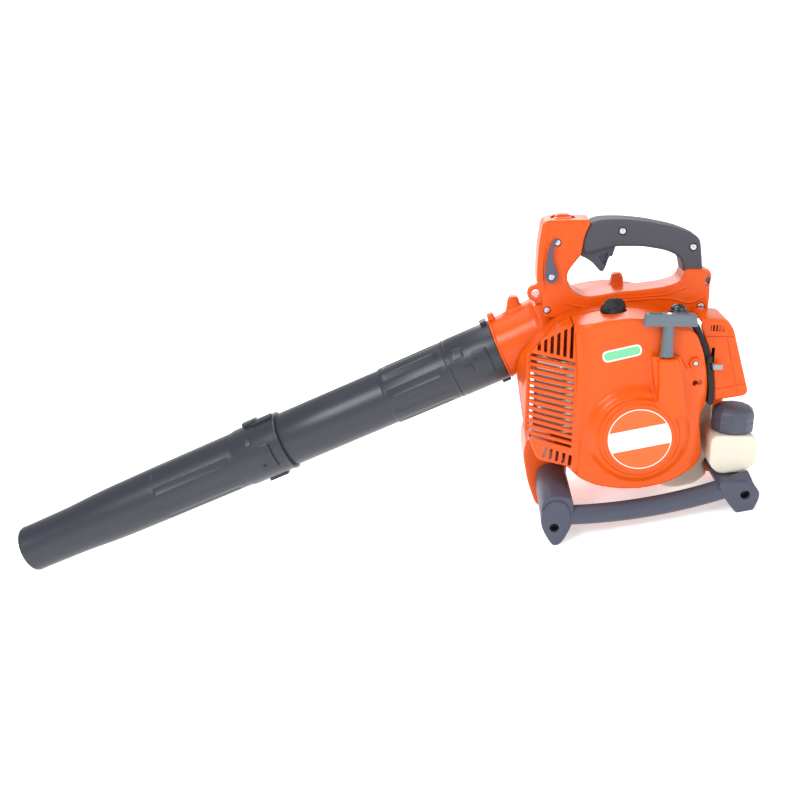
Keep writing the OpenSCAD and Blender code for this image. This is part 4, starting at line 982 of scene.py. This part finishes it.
# Smooth nylon with a violet cast, shinier than the trigger
lever_nylon = moulded_plastic("violet-slate nylon", "#565a72", "#4d5168", 0.3, 1.2, 0.01)
lever = plate("cruise_hold_lever", soften([(-94.6, 150), (-94.6, 160), (-93.4, 170), (-91.6, 179),
              (-89, 186.5), (-86, 190.5), (-83.6, 190.6), (-84, 188), (-87, 182), (-88.2, 174),
              (-87.6, 167), (-85.2, 160), (-82.2, 153), (-82.4, 148), (-88, 143.2)], 2.5), -25.2, -22.2)
bevel(lever, 1.1, 3, 50)
combine(lever, rod("lever boss", (-88.4, -20.4, 149.4), (-88.4, -25.5, 149.4), 7, 6.4, 64), "UNION")
combine(lever, rod("lever hole", (-88.4, -40, 149.4), (-88.4, 0, 149.4), 2.1, sides=32))
settle(lever, lever_nylon)
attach(lever, "cruise")
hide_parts("cruise_lever")

rocker = plate("stop_rocker", soften([(-85, 204), (-86, 211.6), (-81, 213.8), (-71, 213.2), (-67.4, 210),
               (-67.6, 204)], 2.5), -7, 7)
bevel(rocker, 1.2, 3, 50)
settle(rocker, orange_abs)
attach(rocker, "stop")
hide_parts("stop_switch")

# ---- Stand ----
# Two moulded nylon feet screwed to the housing's lugs, and a bowed round bar that joins them on the near
# side. They carry the machine's weight, so the soles are flat.


def above_floor(piece):
    sole = plate("sole", [(-500, -60), (500, -60), (500, 0), (-500, 0)], -200, 200)
    sole.data.transform(Matrix.Rotation(-LEAN, 4, "Y") @ Matrix.Translation((0, 0, -101)))
    combine(piece, sole)


leg = plate("leg", soften([(-63, -72), (-70, -67), (-88, -66.5), (-97, -76), (-97, -98), (-90, -116),
            (-72, -117), (-63.5, -98)], 9, 8), -112, FAN_NEAR - 0.3)
bevel(leg, 1.5, 3, 60)
face = plate("face", soften([(-66.2, -86), (-66, -96), (-70, -112), (-78, -122.6), (-84, -122.6),
             (-92, -111), (-97.4, -98), (-97, -84), (-90, -74), (-80, -70.5), (-70, -75)], 7, 8), -115,
             -104)
bevel(face, 2, 4, 60)
combine(leg, face, "UNION")
combine(leg, rod("screw well", (-83, -120, -101.4), (-83, -107, -101.4), 5, sides=48))
above_floor(leg)
leg.name = "stand_front_foot"
settle(leg, slate_nylon)
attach(leg, "housing")
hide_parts("front_foot")

foot = plate("stand_rear_foot", soften([(84, -50), (90, -62), (98, -73), (106, -82), (114, -85), (121, -81),
             (127.5, -64), (127, -55), (113, -45.5), (88, -45.5)], 6, 8), -115, FAN_NEAR - 0.3)
bevel(foot, 2.2, 4, 60)
combine(foot, rod("screw well", (112.4, -120, -60), (112.4, -107, -60), 5, sides=48))
combine(foot, block("tank way", (78, -46.5, -71), (93, -15, -40)))
above_floor(foot)
settle(foot, slate_nylon)
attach(foot, "housing")
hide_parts("rear_foot")

BOW = 540
centre = Vector((-95.6, -103.5, 448.3))
bpy.ops.object.select_all(action="DESELECT")
start_angle, sweep = math.radians(-88.5 + 1.4), math.radians(20.6)
bpy.ops.mesh.primitive_circle_add(vertices=48, radius=10.5, fill_type="NOTHING")
bar = bpy.context.object
bar.name = "stand_bow_bar"
for vert in bar.data.vertices:
    across, deep = vert.co.x, vert.co.y
    vert.co = (centre.x + (BOW + across) * math.cos(start_angle), centre.y + deep,
               centre.z + (BOW + across) * math.sin(start_angle))
open_edit()
bpy.ops.mesh.spin(steps=60, angle=sweep, center=centre, axis=(0, 1, 0))
close_edit()
settle(bar, slate_nylon)
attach(bar, "housing")
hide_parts("stand_bar")

# ---- Screws ----
# Zinc-plated pan-head screws with a cross slot, in the handle, the grip and the lever, and dark socket
# screws in the stand's feet. The ones inside the machine stay as packed.


def pan_screw(x, y, z, radius, outwards):
    """A pan head with a cross slot, its face towards outwards along Y."""
    head = rod("pan head", (x, y, z), (x, y + 1.9 * outwards, z), radius, radius * 0.8, 40)
    bevel(head, 0.7, 3, 35)
    for turn in (20, 110):
        slot = block("cross slot", (-radius * 0.62, -0.6, -0.35), (radius * 0.62, 1.2, 0.35))
        slot.data.transform(Matrix.Translation((x, y + 1.9 * outwards - 0.3,
                z)) @ Matrix.Rotation(math.radians(turn), 4, "Y"))
        combine(head, slot)
    return head


heads = []
for x, z in ((-83.1, 185.4), (-91.4, 112), (72, 118)):
    heads += [pan_screw(x, -18.8, z, 3.7, -1)]
for x, z in ((-15, 197.5), (60, 181)):
    heads += [pan_screw(x, -15.8, z, 3.9, -1)]
heads.append(pan_screw(-88.4, -25.4, 149.4, 3.7, -1))
heads.append(rod("lever shank", (-88.4, -25.5, 149.4), (-88.4, -15, 149.4), 1.9, sides=24))
heads = join(heads, "handle_pan_screws")
settle(heads, zinc_steel)
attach(heads, "housing")
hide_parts("handle_screws")

# Thin black discs on the floors of the near screw recesses, seen as a dark ring round each head: painted
# shade in the gap between head and recess wall, not a real part.
painted_shade_rings = []
for x, y, z, radius in ((-83.1, -18.7, 185.4, 4.1), (-91.4, -18.7, 112, 4.1), (72, -18.7, 118, 4.1),
                        (-15, -15.7, 197.5, 4.4), (60, -15.7, 181, 4.4)):
    painted_shade_rings.append(rod("seat", (x, y, z), (x, y + 0.5, z), radius, sides=40))
painted_shade_rings = join(painted_shade_rings, "screw_ring_painted_shade")
settle(painted_shade_rings, black_rubber)
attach(painted_shade_rings, "housing")

dark_steel = metal("black-oxide steel", "#26272b", 0.4, 0.6, 0.01)
sockets = []
for x, z in ((-83, -101.4), (112.4, -60)):
    socket = rod("socket head", (x, -110.6, z), (x, -107, z), 4.5, sides=48)
    bevel(socket, 0.5, 2, 40)
    combine(socket, rod("hex socket", (x, -112, z), (x, -108.6, z), 2.4, sides=6))
    sockets.append(socket)
sockets = join(sockets, "stand_socket_screws")
settle(sockets, dark_steel)
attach(sockets, "housing")
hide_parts("stand_screws")
finish(zinc_steel, "housing_screws")
